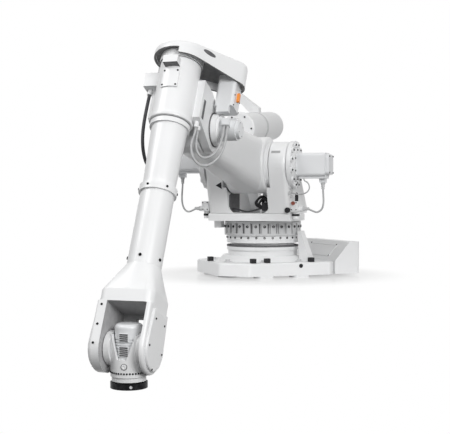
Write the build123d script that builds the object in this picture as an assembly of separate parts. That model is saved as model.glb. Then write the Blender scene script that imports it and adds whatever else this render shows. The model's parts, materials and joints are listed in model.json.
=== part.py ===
from build123d import *
import math
import os

# Six-axis robot arm for a shelf, millimetres and degrees.
# Frame: origin on the base's underside on the turning axis, +X the way the arm points, +Z up.

# Driving sizes: the axes and how the arm stands at rest
shoulder_reach = 300.0
shoulder_height = 815.0
lower_arm_length = 1280.0
lower_arm_lift = 7.5
elbow_offset = 280.0
forearm_tilt = 25.7
wrist_reach = 1450.0
flange_reach = 200.0
base_turn = -50.0

# Clearances shared by every piece
run_gap = 6.0
pin_gap = 0.3
seat_gap = 0.3
cut_over = 20.0


def elbow_point():
    """Axis 3 in the X-Z plane."""
    lift = math.radians(lower_arm_lift)
    x = shoulder_reach + lower_arm_length * math.cos(lift)
    z = shoulder_height + lower_arm_length * math.sin(lift)
    return x, z


def on_base(shape):
    """Turn a base piece to its heading."""
    return Rot(0, 0, base_turn) * shape


def on_shoulder(shape):
    """Carry a piece drawn about axis 2 to the shoulder."""
    return Pos(shoulder_reach, 0, shoulder_height) * shape


def on_lower_arm(shape):
    """Carry a piece drawn along +X from axis 2 to the raised lower arm."""
    return on_shoulder(Rot(0, -lower_arm_lift, 0) * shape)


def on_forearm(shape):
    """Carry a piece drawn about a forearm that hangs straight down to its place."""
    x, z = elbow_point()
    return Pos(x, 0, z) * Rot(0, -forearm_tilt, 0) * Pos(elbow_offset, 0, 0) * shape


def side_plate(outline, y_low, y_high):
    """Stand an outline up in X-Z and give it its width in Y."""
    return Pos(0, y_high, 0) * Rot(90, 0, 0) * extrude(outline, y_high - y_low)


def cross_drum(radius, y_low, y_high):
    """A round bar along Y."""
    return side_plate(Circle(radius), y_low, y_high)


def block(x_low, x_high, y_low, y_high, z_low, z_high):
    """A box between two corners."""
    size = Box(x_high - x_low, y_high - y_low, z_high - z_low)
    return Pos((x_low + x_high) / 2, (y_low + y_high) / 2, (z_low + z_high) / 2) * size


def post(radius, z_low, z_high):
    """A round bar along Z."""
    return Pos(0, 0, (z_low + z_high) / 2) * Cylinder(radius, z_high - z_low)


def lying_drum(radius, x_low, x_high):
    """A round bar along X."""
    return Pos((x_low + x_high) / 2, 0, 0) * Rot(0, 90, 0) * Cylinder(radius, x_high - x_low)


def turned(points):
    """A solid of revolution about Z from radius and height points."""
    return revolve(Plane.XZ * make_face(Polyline(*points, close=True)), Axis.Z)


# Base casting: a plate with cut corners on round pads, and a stepped hub
base_front = 450.0
base_rear = 430.0
base_half_width = 400.0
base_corner_cut = 170.0
base_rear_cut = 60.0
base_corner_round = 45.0
base_plate_top = 110.0
base_plate_round = 14.0
pad_height = 14.0
pad_radius = 75.0
centre_pad_radius = 120.0
hub_waist_radius = 262.0
hub_groove_radius = 240.0
hub_collar_radius = 272.0
hub_skirt_top = 150.0
hub_ledge_top = 190.0
hub_groove_low = 222.0
hub_groove_top = 244.0
hub_top = 300.0
hub_bore_radius = 205.0
bolt_edge = 30.0
bolt_circle_radius = base_half_width - bolt_edge
bolt_count = 8
bolt_hole_radius = 13.0
bolt_hub_gap = 35.0
hub_foot_flare = 35.0
hub_foot_radius = bolt_circle_radius - bolt_hub_gap
hub_skirt_radius = hub_foot_radius - hub_foot_flare


def base_outline():
    """Plan of the base plate, front along +X."""
    points = [
        (base_front, base_half_width - base_corner_cut),
        (base_front - base_corner_cut, base_half_width),
        (base_rear_cut - base_rear, base_half_width),
        (-base_rear, base_half_width - base_rear_cut),
    ]
    mirrored = [(x, -y) for x, y in reversed(points)]
    return make_face(Polyline(*points, *mirrored, close=True))


def bolt_places(radius, count):
    """Even places round the Z axis, half a step off the X axis."""
    step = 360 / count
    for index in range(count):
        angle = math.radians(step * (index + 0.5))
        yield radius * math.cos(angle), radius * math.sin(angle)


def make_base_casting():
    plan = base_outline()
    plan = fillet(plan.vertices(), base_corner_round)
    plate = Pos(0, 0, pad_height) * extrude(plan, base_plate_top - pad_height)
    plate = fillet(plate.faces().sort_by(Axis.Z)[-1].edges(), base_plate_round)
    hub = turned([
        (hub_bore_radius, base_plate_top - pad_height),
        (hub_foot_radius, base_plate_top - pad_height),
        (hub_foot_radius, base_plate_top),
        (hub_skirt_radius, hub_skirt_top),
        (hub_waist_radius, hub_skirt_top),
        (hub_waist_radius, hub_ledge_top),
        (hub_collar_radius, hub_ledge_top),
        (hub_collar_radius, hub_groove_low),
        (hub_groove_radius, hub_groove_low),
        (hub_groove_radius, hub_groove_top),
        (hub_collar_radius, hub_groove_top),
        (hub_collar_radius, hub_top),
        (hub_bore_radius, hub_top),
    ])
    casting = plate + hub + post(centre_pad_radius, 0, pad_height)
    for x, y in bolt_places(bolt_circle_radius, bolt_count):
        casting += Pos(x, y, 0) * post(pad_radius, 0, pad_height) & extrude(plan, pad_height)
    for x, y in bolt_places(bolt_circle_radius, bolt_count):
        casting -= Pos(x, y, 0) * post(bolt_hole_radius, -cut_over, base_plate_top + cut_over)
    return on_base(casting)


# Cable box at the back of the base, with a sloping front
cable_box_length = 210.0
cable_box_half_width = 360.0
cable_box_height = 250.0
cable_box_slope = 120.0
cable_box_round = 24.0


def make_base_cable_box():
    front = -base_rear - seat_gap
    back = front - cable_box_length
    side = make_face(Polyline(
        (front, pad_height), (front, base_plate_top), (front - cable_box_slope, cable_box_height),
        (back, cable_box_height), (back, pad_height), close=True))
    box = side_plate(side, -cable_box_half_width, cable_box_half_width)
    edges = box.edges().filter_by(Axis.Z).sort_by(Axis.X)[:2]
    box = fillet(edges, cable_box_round)
    return on_base(box)


# Bracket that stands on the base beside the slotted ring
bracket_turn = 75.0
bracket_inner = 300.0
bracket_foot = 95.0
bracket_head = 22.0
bracket_lean = 20.0
bracket_top = 335.0
bracket_thickness = 62.0


def make_base_bracket():
    foot = hub_foot_radius + seat_gap
    side = make_face(Polyline(
        (foot, base_plate_top + seat_gap), (foot + bracket_foot, base_plate_top + seat_gap),
        (bracket_inner + bracket_lean + bracket_head, bracket_top),
        (bracket_inner + bracket_lean, bracket_top), close=True))
    plate = side_plate(side, -bracket_thickness / 2, bracket_thickness / 2)
    return Rot(0, 0, bracket_turn) * plate


# Slotted ring of the axis 1 bearing
ring_radius = 290.0
ring_bore_radius = 205.0
ring_top = 404.0
ring_lip = 14.0
ring_slot_count = 28
ring_slot_width = 22.0
ring_slot_depth = 14.0


def make_slew_ring():
    low = hub_top + seat_gap
    ring = post(ring_radius, low, ring_top) - post(ring_bore_radius, low - cut_over, ring_top + cut_over)
    slot_middle = ring_radius
    slot = block(slot_middle - ring_slot_depth, slot_middle + cut_over,
                 -ring_slot_width / 2, ring_slot_width / 2, low + ring_lip, ring_top - ring_lip)
    slots = [Rot(0, 0, index * 360 / ring_slot_count) * slot for index in range(ring_slot_count)]
    return ring - slots


# Turret floor with the spigot that turns in the ring
floor_low = ring_top + run_gap
floor_thickness = 56.0
floor_top = floor_low + floor_thickness
floor_radius = 318.0
floor_front = 360.0
floor_rear = 290.0
floor_rear_half_width = 235.0
floor_half_width = 310.0
floor_round = 12.0
spigot_low = 320.0


def make_turret_floor():
    rim = Circle(floor_radius)
    nose = Pos(floor_front / 2, 0) * Rectangle(floor_front, 2 * floor_half_width)
    tail = Pos(-floor_rear / 2, 0) * Rectangle(floor_rear, 2 * floor_rear_half_width)
    plan = make_hull(rim.edges() + nose.edges() + tail.edges())
    slab = Pos(0, 0, floor_low) * extrude(plan, floor_thickness)
    slab = fillet(slab.faces().sort_by(Axis.Z)[-1].edges(), floor_round)
    return slab + post(ring_bore_radius - pin_gap, spigot_low, floor_low)


# Stop block under the floor
stop_x = 190.0
stop_length = 76.0
stop_inner = 258.0
stop_width = 52.0
stop_height = 54.0


def make_turret_stop():
    top = floor_low - seat_gap
    return block(stop_x - stop_length / 2, stop_x + stop_length / 2, -stop_inner - stop_width, -stop_inner,
                 top - stop_height, top)


# Turret cheeks: two tall plates that carry the shoulder
cheek_inner = 151.0
cheek_outer = 308.0
cheek_head_radius = 168.0
cheek_back = 180.0
cheek_foot_height = 50.0
cheek_round = 34.0
cheek_pocket_radius = 204.0
cheek_pocket_depth = 27.0
shoulder_bore_radius = 90.0
gusset_round = 55.0
gusset_depth = 14.0


def cheek_outline():
    """Side view of a cheek about axis 2."""
    foot_low = floor_top + seat_gap - shoulder_height
    foot_x = (floor_front - cheek_back) / 2 - shoulder_reach
    foot_z = foot_low + cheek_foot_height / 2
    foot = Pos(foot_x, foot_z) * Rectangle(floor_front + cheek_back, cheek_foot_height)
    return make_hull(Circle(cheek_head_radius).edges() + foot.edges())


def window_gusset():
    """Round the lower corner of the window between the cheeks."""
    low = floor_top + seat_gap
    back = floor_front - gusset_depth
    corner = block(back, floor_front, cheek_inner - gusset_round, cheek_inner, low, low + gusset_round)
    hollow = lying_drum(gusset_round, back - cut_over, floor_front + cut_over)
    return corner - Pos(0, cheek_inner - gusset_round, low + gusset_round) * hollow


def make_turret_cheek():
    """The cheek on the +Y side."""
    plate = side_plate(cheek_outline(), cheek_inner, cheek_outer)
    rim = plate.faces().sort_by(Axis.Y)[-1].edges().sort_by(Axis.Z)[1:]
    plate = fillet(rim, cheek_round)
    plate -= cross_drum(cheek_pocket_radius, cheek_inner - cut_over, cheek_inner + cheek_pocket_depth)
    plate -= cross_drum(shoulder_bore_radius + pin_gap, cheek_inner, cheek_outer + cut_over)
    return on_shoulder(plate) + window_gusset()


# Shoulder gearboxes on the cheeks' outer faces, with the spindles that carry the lower arm
gear_flange_radius = 172.0
gear_flange_width = 30.0
gear_cover_radius = 128.0
gear_cover_width = 22.0
gear_lobe_radius = 21.0
gear_lobe_count = 12
gear_lobe_circle = 158.0
gear_lobe_width = 10.0
spindle_end = 100.0
gear_flange_inner = cheek_outer + seat_gap
gear_flange_outer = gear_flange_inner + gear_flange_width
gear_cover_outer = gear_flange_outer + gear_cover_width


def make_shoulder_gearbox():
    """The gearbox on the +Y side."""
    body = cross_drum(gear_flange_radius, gear_flange_inner, gear_flange_outer)
    body += cross_drum(gear_cover_radius, gear_flange_outer, gear_cover_outer)
    for x, z in bolt_places(gear_lobe_circle - gear_lobe_radius / 2, gear_lobe_count):
        body += Pos(x, 0, z) * cross_drum(gear_lobe_radius, gear_flange_outer, gear_flange_outer + gear_lobe_width)
    body += cross_drum(shoulder_bore_radius, spindle_end, gear_flange_inner)
    return on_shoulder(body)


# Motors on the shoulder gearboxes: a rounded square case, an end cap and a connector ledge
motor_side = 166.0
motor_corner = 24.0
motor_length = 205.0
motor_cap_side = 146.0
motor_cap_length = 30.0
motor_cap_round = 10.0
motor_ledge_width = 110.0
motor_ledge_height = 16.0
motor_ledge_start = 12.0
motor_plug_side = 46.0
motor_plug_height = 30.0
motor_plug_inset = 30.0
left_motor_lift = 45.0
motor_inner = gear_cover_outer + seat_gap
motor_case_end = motor_inner + motor_length
motor_end = motor_case_end + motor_cap_length
motor_plug_low = -motor_side / 2 - motor_ledge_height - motor_plug_height
motor_plug_y = motor_case_end - motor_plug_inset


def make_shoulder_motor(lift):
    """A motor on the +Y side, raised off axis 2 by the lift."""
    case = side_plate(RectangleRounded(motor_side, motor_side, motor_corner), motor_inner, motor_case_end)
    cap = side_plate(RectangleRounded(motor_cap_side, motor_cap_side, motor_corner), motor_case_end, motor_end)
    cap = fillet(cap.faces().sort_by(Axis.Y)[-1].edges(), motor_cap_round)
    ledge_top = -motor_side / 2
    ledge = block(-motor_ledge_width / 2, motor_ledge_width / 2, motor_inner + motor_ledge_start, motor_case_end,
                  ledge_top - motor_ledge_height, ledge_top)
    half = motor_plug_side / 2
    plug = block(-half, half, motor_plug_y - half, motor_plug_y + half,
                 motor_plug_low, ledge_top - motor_ledge_height)
    return on_shoulder(Pos(0, 0, lift) * (case + cap + ledge + plug))


# Axis 1 motor, standing on the floor behind the shoulder
turn_motor_x = -70.0
turn_motor_y = 62.0
turn_motor_flange_radius = 84.0
turn_motor_flange_height = 24.0
turn_motor_side = 136.0
turn_motor_corner = 22.0
turn_motor_height = 250.0
turn_motor_cap_radius = 58.0
turn_motor_cap_height = 26.0
turn_plug_radius = 20.0
turn_plug_length = 22.0
turn_plug_z = 650.0


def make_turret_motor():
    low = floor_top + seat_gap
    shoulder = low + turn_motor_flange_height
    flange = post(turn_motor_flange_radius, low, shoulder)
    case = RectangleRounded(turn_motor_side, turn_motor_side, turn_motor_corner)
    case = Pos(0, 0, shoulder) * extrude(case, turn_motor_height)
    head = shoulder + turn_motor_height
    cap = post(turn_motor_cap_radius, head, head + turn_motor_cap_height)
    front = turn_motor_side / 2
    plug = Pos(0, 0, turn_plug_z) * lying_drum(turn_plug_radius, front, front + turn_plug_length)
    return Pos(turn_motor_x, turn_motor_y, 0) * (flange + case + cap + plug)


# Balance cylinder above the turret, lying fore and aft on a stand
balance_front_x = 148.0
balance_front_z = 1096.0
balance_y = -145.0
balance_rise = 5.5
balance_radius = 118.0
balance_length = 850.0
balance_cap_radius = 126.0
balance_cap_length = 46.0
balance_end_radius = 90.0
balance_end_length = 40.0
balance_edge_round = 12.0
stand_x = -236.0
stand_depth = 80.0
stand_width = 100.0
stand_foot_depth = 88.0
stand_foot_width = 140.0
stand_foot_height = 26.0


def on_balance(shape):
    """Carry a piece drawn backwards along -X to the balance cylinder's line."""
    return Pos(balance_front_x, balance_y, balance_front_z) * Rot(0, balance_rise, 0) * shape


def make_balance_cylinder():
    front = lying_drum(balance_cap_radius, -balance_cap_length, 0)
    front = fillet(front.faces().sort_by(Axis.X)[-1].edges(), balance_edge_round)
    tube = lying_drum(balance_radius, -balance_length, -balance_cap_length)
    back = lying_drum(balance_end_radius, -balance_length - balance_end_length, -balance_length)
    return on_balance(front + tube + back)


def make_balance_stand():
    low = floor_top + seat_gap
    half_depth = stand_depth / 2
    web = block(stand_x - half_depth, stand_x + half_depth,
                balance_y - stand_width / 2, balance_y + stand_width / 2, low, balance_front_z)
    foot = block(stand_x - half_depth, stand_x - half_depth + stand_foot_depth,
                 balance_y - stand_foot_width / 2, balance_y + stand_foot_width / 2,
                 low, low + stand_foot_height)
    room = on_balance(lying_drum(balance_radius + seat_gap, -balance_length, 0))
    return web + foot - room


# Guide arm for hoses, on top of the balance cylinder
guide_pad_x = -470.0
guide_pad_length = 70.0
guide_pad_width = 60.0
guide_pad_height = 34.0
guide_bar_side = 56.0
guide_bar_run = 190.0
guide_bar_rise = 175.0
guide_sink = 24.0


def make_hose_guide():
    seat = balance_radius + seat_gap
    half = guide_pad_length / 2
    pad = block(guide_pad_x - half, guide_pad_x + half, -guide_pad_width / 2, guide_pad_width / 2,
                seat - guide_sink, seat + guide_pad_height)
    pad -= lying_drum(seat, -balance_length, 0)
    top = seat + guide_pad_height
    bar = make_face(Polyline(
        (guide_pad_width / 2, top - guide_bar_side), (guide_pad_width / 2, top),
        (-guide_bar_run, top + guide_bar_rise), (-guide_bar_run, top + guide_bar_rise - guide_bar_side),
        (-guide_pad_width / 2, top - guide_bar_side), close=True))
    bar = Rot(0, 0, 90) * side_plate(bar, -guide_bar_side / 2, guide_bar_side / 2)
    bar = Pos(guide_pad_x, 0, 0) * bar
    bar -= lying_drum(seat, -balance_length, 0)
    return on_balance(pad + bar)


# Junction box low on the right cheek, with its two glands
junction_x = 306.0
junction_length = 96.0
junction_width = 56.0
junction_low = 480.0
junction_height = 74.0
junction_gland_radius = 20.0
junction_gland_length = 26.0
junction_lower_radius = 24.0
junction_lower_inset = 2.0
junction_lower_length = 52.0
junction_gland_z = junction_low + junction_gland_radius
junction_inner = cheek_outer + seat_gap
junction_outer = junction_inner + junction_width
gland_end = junction_outer + junction_gland_length


def make_junction_box():
    """The box on the +Y side."""
    half = junction_length / 2
    case = block(junction_x - half, junction_x + half, junction_inner, junction_outer,
                 junction_low, junction_low + junction_height)
    gland = Pos(junction_x, 0, junction_gland_z) * cross_drum(junction_gland_radius, junction_outer, gland_end)
    lower_y = junction_outer - junction_lower_radius - junction_lower_inset
    lower = Pos(junction_x, lower_y, 0) * post(junction_lower_radius, junction_low - junction_lower_length,
                                               junction_low)
    return case + gland + lower


# Hose manifold on the right cheek's inner face
manifold_x_low = 250.0
manifold_x_high = 345.0
manifold_width = 56.0
manifold_low = 484.0
manifold_height = 60.0
manifold_round = 8.0


def make_turret_manifold():
    outer = cheek_inner - seat_gap
    body = block(manifold_x_low, manifold_x_high, outer - manifold_width, outer,
                 manifold_low, manifold_low + manifold_height)
    return fillet(body.edges().filter_by(Axis.X), manifold_round)


# Lower arm: a deep tapering casting between a shoulder hub and an elbow hub
arm_root_radius = 205.0
arm_tip_radius = 140.0
arm_root_half_width = 145.0
arm_tip_half_width = 105.0
arm_hub_step = 8.0
arm_hub_round = 14.0
arm_root_corner = 90.0
arm_tip_corner = 60.0
arm_flange_radius = 166.0
arm_flange_outer = 172.0
elbow_bore_radius = 62.0


def arm_section(half_width, half_height, corner):
    """Cross-section of the lower arm, across X."""
    return Plane.YZ * RectangleRounded(2 * half_width, 2 * half_height, corner)


def arm_hub(radius, half_width):
    """A round hub with softened rims."""
    hub = cross_drum(radius, -half_width, half_width)
    rims = hub.edges().filter_by(GeomType.CIRCLE)
    return fillet(rims, arm_hub_round)


def make_lower_arm():
    root = arm_section(arm_root_half_width - arm_hub_step, arm_root_radius - arm_hub_step, arm_root_corner)
    tip = arm_section(arm_tip_half_width - arm_hub_step, arm_tip_radius - arm_hub_step, arm_tip_corner)
    arm = loft([root, Pos(lower_arm_length, 0, 0) * tip])
    arm += arm_hub(arm_root_radius, arm_root_half_width)
    arm += Pos(lower_arm_length, 0, 0) * arm_hub(arm_tip_radius, arm_tip_half_width)
    arm += cross_drum(arm_flange_radius, -arm_flange_outer, arm_flange_outer)
    arm -= cross_drum(shoulder_bore_radius + pin_gap, -arm_flange_outer - cut_over, arm_flange_outer + cut_over)
    elbow_bore = cross_drum(elbow_bore_radius + pin_gap, -arm_root_half_width, arm_root_half_width)
    return on_lower_arm(arm - Pos(lower_arm_length, 0, 0) * elbow_bore)


# Upper arm housing: the forearm's head, two ears round the elbow tongue and the web between
head_radius = 120.0
head_low = -120.0
head_top = 268.0
head_bore_radius = 80.0
head_bore_top = 90.0
ear_inner = arm_tip_half_width + run_gap
ear_outer = 160.0
ear_radius = 138.0
ear_front = -20.0
ear_low = -60.0
ear_top = 185.0
web_back = -130.0
ear_root_back = -150.0
loop_gland_radius = 14.0
loop_gland_y = 132.0
loop_gland_low = -106.0
loop_gland_places = (-62.0, -98.0)


def make_upper_arm_housing():
    elbow = Pos(-elbow_offset, 0) * Circle(ear_radius)
    root = Pos((ear_front + ear_root_back) / 2, (ear_low + ear_top) / 2) * Rectangle(
        ear_front - ear_root_back, ear_top - ear_low)
    ear = make_hull(elbow.edges() + root.edges())
    body = post(head_radius, head_low, head_top)
    body += side_plate(ear, ear_inner, ear_outer)
    body += side_plate(ear, -ear_outer, -ear_inner)
    body += block(web_back, ear_front, -ear_outer, ear_outer, ear_low, ear_top)
    body -= post(head_bore_radius + pin_gap, head_low - cut_over, head_bore_top)
    for x in loop_gland_places:
        body += Pos(x, loop_gland_y, 0) * post(loop_gland_radius, loop_gland_low, ear_low)
    bore = cross_drum(elbow_bore_radius + pin_gap, -ear_outer - cut_over, ear_outer + cut_over)
    return on_forearm(body - Pos(-elbow_offset, 0, 0) * bore)


def on_elbow(shape):
    """Carry a piece drawn about axis 3 to the elbow, in the forearm's tilt."""
    return on_forearm(Pos(-elbow_offset, 0, 0) * shape)


# Elbow drive on the right ear, with the pin through the joint, and the cover on the left ear
elbow_flange_radius = 98.0
elbow_flange_width = 40.0
elbow_rim_radius = 86.0
elbow_rim_width = 14.0
elbow_motor_radius = 66.0
elbow_motor_length = 92.0
elbow_motor_cap_radius = 54.0
elbow_motor_cap_length = 20.0
elbow_plug_side = 44.0
elbow_plug_length = 34.0
elbow_cover_radius = 112.0
elbow_cover_width = 24.0
elbow_cover_dome = 78.0
elbow_cover_dome_width = 14.0
cover_gland_radius = 11.0
cover_gland_low = -140.0
cover_gland_root = 20.0
elbow_flange_inner = ear_outer + seat_gap
elbow_flange_outer = elbow_flange_inner + elbow_flange_width
elbow_motor_inner = elbow_flange_outer + elbow_rim_width + seat_gap
elbow_motor_outer = elbow_motor_inner + elbow_motor_length


def make_elbow_gearbox():
    body = cross_drum(elbow_flange_radius, elbow_flange_inner, elbow_flange_outer)
    body += cross_drum(elbow_rim_radius, elbow_flange_outer, elbow_flange_outer + elbow_rim_width)
    body += cross_drum(elbow_bore_radius, -ear_outer, elbow_flange_inner)
    return on_elbow(body)


def make_elbow_motor():
    body = cross_drum(elbow_motor_radius, elbow_motor_inner, elbow_motor_outer)
    body += cross_drum(elbow_motor_cap_radius, elbow_motor_outer, elbow_motor_outer + elbow_motor_cap_length)
    half = elbow_plug_side / 2
    plug_end = elbow_motor_radius + elbow_plug_length
    middle = (elbow_motor_inner + elbow_motor_outer) / 2
    plug = block(0, plug_end, middle - half, middle + half, -half, half)
    return on_elbow(body + plug)


def make_elbow_cover():
    inner = -ear_outer - seat_gap
    body = cross_drum(elbow_cover_radius, inner - elbow_cover_width, inner)
    dome_inner = inner - elbow_cover_width
    body += cross_drum(elbow_cover_dome, dome_inner - elbow_cover_dome_width, dome_inner)
    gland_top = cover_gland_root - elbow_cover_radius
    gland_y = inner - elbow_cover_width / 2
    body += Pos(0, gland_y, 0) * post(cover_gland_radius, cover_gland_low, gland_top)
    return on_elbow(body)


# Head cap: one long round-ended cover over the head and the forearm motor
cap_front_radius = 168.0
cap_back_radius = 92.0
forearm_motor_x = -235.0
forearm_motor_y = 232.0
cap_low = head_top + seat_gap
cap_front_height = 84.0
cap_top_slope = 11.0
cap_stock = 300.0
cap_seam_turn = 135.0
cap_top_round = 38.0
cap_wall = 14.0
cap_pocket = 50.0
cap_boss_gap = 8.0
cap_cut_back = -40.0
cap_cut_side = 40.0
cap_cut_height = 38.0


def cap_plan(shrink):
    """Plan of the cap about the forearm axis, drawn in by the shrink."""
    front = Rot(0, 0, cap_seam_turn) * Circle(cap_front_radius - shrink)
    back = Pos(forearm_motor_x, forearm_motor_y) * Circle(cap_back_radius - shrink)
    return make_hull(front.edges() + back.edges())


def make_head_cap():
    cap = Pos(0, 0, cap_low) * extrude(cap_plan(0), cap_stock)
    above = block(-cap_stock - cap_stock, cap_stock, -cap_stock - cap_stock, cap_stock + cap_stock, 0, cap_stock)
    cap -= Pos(cap_front_radius, 0, cap_low + cap_front_height) * Rot(0, cap_top_slope, 0) * above
    cap = fillet(cap.faces().sort_by(Axis.Z)[-1].edges(), cap_top_round)
    boss = post(head_radius + cap_boss_gap, cap_low - cut_over, cap_low + cap_pocket + cut_over)
    motor = Pos(forearm_motor_x, forearm_motor_y) * RectangleRounded(
        forearm_motor_length, forearm_motor_width, forearm_motor_corner)
    boss += Pos(0, 0, cap_low - cut_over) * extrude(motor, cap_pocket + cut_over)
    pocket = Pos(0, 0, cap_low - cut_over) * extrude(cap_plan(cap_wall), cap_pocket + cut_over)
    side = block(cap_cut_back, cap_stock, -cap_stock, cap_cut_side, cap_low - cut_over, cap_low + cap_cut_height)
    return on_forearm(cap - (pocket - boss) - (side - boss))


# Forearm motor: a tall case hanging under the cap, with an orange lamp on its side
forearm_motor_length = 126.0
forearm_motor_width = 118.0
forearm_motor_corner = 20.0
forearm_motor_low = 106.0
apron_depth = 26.0
apron_low = 62.0
lamp_width = 26.0
lamp_length = 62.0
lamp_corner = 12.5
lamp_height = 16.0
lamp_edge_round = 6.0
lamp_z = 190.0


def make_forearm_motor():
    case = RectangleRounded(forearm_motor_length, forearm_motor_width, forearm_motor_corner)
    case = Pos(forearm_motor_x, forearm_motor_y, forearm_motor_low) * extrude(case, head_top - forearm_motor_low)
    front = forearm_motor_x + forearm_motor_length / 2
    half = forearm_motor_width / 2 - forearm_motor_corner
    apron = block(front - apron_depth, front, forearm_motor_y - half, forearm_motor_y + half,
                  apron_low, head_top - forearm_motor_corner)
    return on_forearm(case + apron)


def make_motor_lamp():
    side = forearm_motor_y + forearm_motor_width / 2 + seat_gap
    lamp = side_plate(RectangleRounded(lamp_width, lamp_length, lamp_corner), side, side + lamp_height)
    lamp = fillet(lamp.faces().sort_by(Axis.Y)[-1].edges(), lamp_edge_round)
    return on_forearm(Pos(forearm_motor_x, 0, lamp_z) * lamp)


# Small pieces on the head: a shelf under the cap, a hatch plate and a side plate
shelf_half_width = 45.0
shelf_reach = 46.0
shelf_low = 200.0
shelf_height = 46.0
hatch_half_width = 50.0
hatch_thickness = 9.0
hatch_low = 62.0
hatch_height = 118.0
side_plate_back = -70.0
side_plate_front = 30.0
side_plate_reach = 86.0
side_plate_low = 130.0
side_plate_height = 90.0
side_gland_radius = 15.0
side_gland_length = 34.0
side_gland_inset = 28.0
side_gland_x = -20.0


def outside_head(shape):
    """Trim a piece to the round head's surface."""
    return shape - post(head_radius + seat_gap, head_low - cut_over, head_top + cut_over)


def make_head_shelf():
    shelf = block(0, head_radius + shelf_reach, -shelf_half_width, shelf_half_width,
                  shelf_low, shelf_low + shelf_height)
    return on_forearm(outside_head(shelf).solids().sort_by(Axis.X)[-1])


def make_head_hatch():
    hatch = post(head_radius + seat_gap + hatch_thickness, hatch_low, hatch_low + hatch_height)
    hatch &= block(0, head_radius + shelf_reach, -hatch_half_width, hatch_half_width,
                   hatch_low, hatch_low + hatch_height)
    return on_forearm(outside_head(hatch).solids().sort_by(Axis.X)[-1])


side_gland_y = -head_radius - side_plate_reach + side_gland_inset
side_gland_low = side_plate_low - side_gland_length


def make_head_side_plate():
    plate = block(side_plate_back, side_plate_front, -head_radius - side_plate_reach, 0,
                  side_plate_low, side_plate_low + side_plate_height)
    plate = outside_head(plate).solids().sort_by(Axis.Y)[0]
    plate -= block(web_back, ear_front + seat_gap, -ear_outer - seat_gap, 0, ear_low, ear_top + seat_gap)
    plate = plate.solids().sort_by(Axis.Y)[0]
    gland = Pos(side_gland_x, side_gland_y, 0) * post(side_gland_radius, side_gland_low, side_plate_low)
    return on_forearm(plate + gland)


# Forearm tubes: an upper taper and a lower tube, bolted at a flange
collar_top = head_low - run_gap
collar_radius = 116.0
collar_height = 28.0
upper_tube_radius = 104.0
upper_tube_end_radius = 92.0
upper_tube_end = -528.0
joint_radius = 107.0
joint_height = 20.0
lower_tube_radius = 95.0
fork_neck = 450.0
lower_tube_end = fork_neck - wrist_reach
tube_spigot_top = 60.0


def make_forearm_upper_tube():
    joint_low = upper_tube_end - joint_height
    tube = turned([
        (0, tube_spigot_top),
        (head_bore_radius, tube_spigot_top),
        (head_bore_radius, collar_top),
        (collar_radius, collar_top),
        (collar_radius, collar_top - collar_height),
        (upper_tube_radius, collar_top - collar_height),
        (upper_tube_end_radius, upper_tube_end),
        (joint_radius, upper_tube_end),
        (joint_radius, joint_low),
        (0, joint_low),
    ])
    return on_forearm(tube)


def make_forearm_lower_tube():
    top = upper_tube_end - joint_height - seat_gap
    tube = turned([
        (0, top),
        (joint_radius, top),
        (joint_radius, top - joint_height),
        (lower_tube_radius, top - joint_height),
        (lower_tube_radius, lower_tube_end),
        (0, lower_tube_end),
    ])
    return on_forearm(tube)


# Wrist fork: a shoulder that widens from the tube, a thin right cheek, a thick left one and a back web
fork_right = 136.0
fork_left = 170.0
fork_gap_half = 112.0
fork_depth = 131.0
fork_shoulder = 280.0
fork_throat = 215.0
fork_corner = 46.0
fork_cheek_root = 90.0
fork_cheek_round = 16.0
fork_web_thickness = 26.0
fork_web_low = 126.0
fork_window_half = 33.0
fork_window_low = 150.0
fork_window_high = 198.0
trunnion_radius = 60.0


def at_wrist(shape):
    """Carry a piece drawn about the wrist axis, in line with the forearm, to the forearm's end."""
    return on_forearm(Pos(0, 0, -wrist_reach) * shape)


def fork_cheek(half_width):
    """A round-ended cheek on the +Y side."""
    root = Pos(0, fork_throat - fork_cheek_root / 2) * Rectangle(2 * fork_depth, fork_cheek_root)
    outline = make_hull(Circle(fork_depth).edges() + root.edges())
    cheek = side_plate(outline, fork_gap_half, half_width)
    rim = cheek.faces().sort_by(Axis.Y)[-1].edges().sort_by(Axis.Z)[:-1]
    return fillet(rim, fork_cheek_round)


def fork_web():
    """The web behind the wrist motor, with an opening for its cables."""
    back = -fork_depth + fork_web_thickness
    web = block(-fork_depth, back, -fork_gap_half, fork_gap_half, fork_web_low, fork_throat)
    return web - block(-fork_depth - cut_over, back + cut_over, -fork_window_half, fork_window_half,
                       fork_window_low, fork_window_high)


def make_wrist_fork():
    middle = (fork_right - fork_left) / 2
    yoke = RectangleRounded(2 * fork_depth, fork_right + fork_left, fork_corner)
    neck = Pos(0, 0, fork_neck - seat_gap) * Circle(lower_tube_radius)
    body = loft([neck, Pos(0, middle, fork_shoulder) * yoke])
    body += Pos(0, middle, fork_throat) * extrude(yoke, fork_shoulder - fork_throat)
    body += fork_cheek(fork_right)
    body += mirror(fork_cheek(fork_left), about=Plane.XZ)
    body += fork_web()
    return at_wrist(body - cross_drum(trunnion_radius + pin_gap, -fork_left - cut_over, fork_right + cut_over))


# Covers on the wrist cheeks
wrist_cover_radius = 112.0
wrist_cover_thickness = 13.0
wrist_cover_round = 8.0
wrist_cover_inset = 20.0


def make_wrist_cover(half_width):
    """A cover on the +Y side of a cheek."""
    inner = half_width + seat_gap
    root = Pos(0, fork_throat - fork_cheek_root / 2 - wrist_cover_inset) * Rectangle(
        2 * wrist_cover_radius - 2 * wrist_cover_inset, fork_cheek_root)
    outline = make_hull(Circle(wrist_cover_radius).edges() + root.edges())
    plate = side_plate(outline, inner, inner + wrist_cover_thickness)
    return fillet(plate.faces().sort_by(Axis.Y)[-1].edges(), wrist_cover_round)


def on_wrist(shape):
    """Carry a piece drawn about the wrist axis to the wrist, which hangs plumb at rest."""
    return at_wrist(Rot(0, forearm_tilt, 0) * shape)


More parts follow.
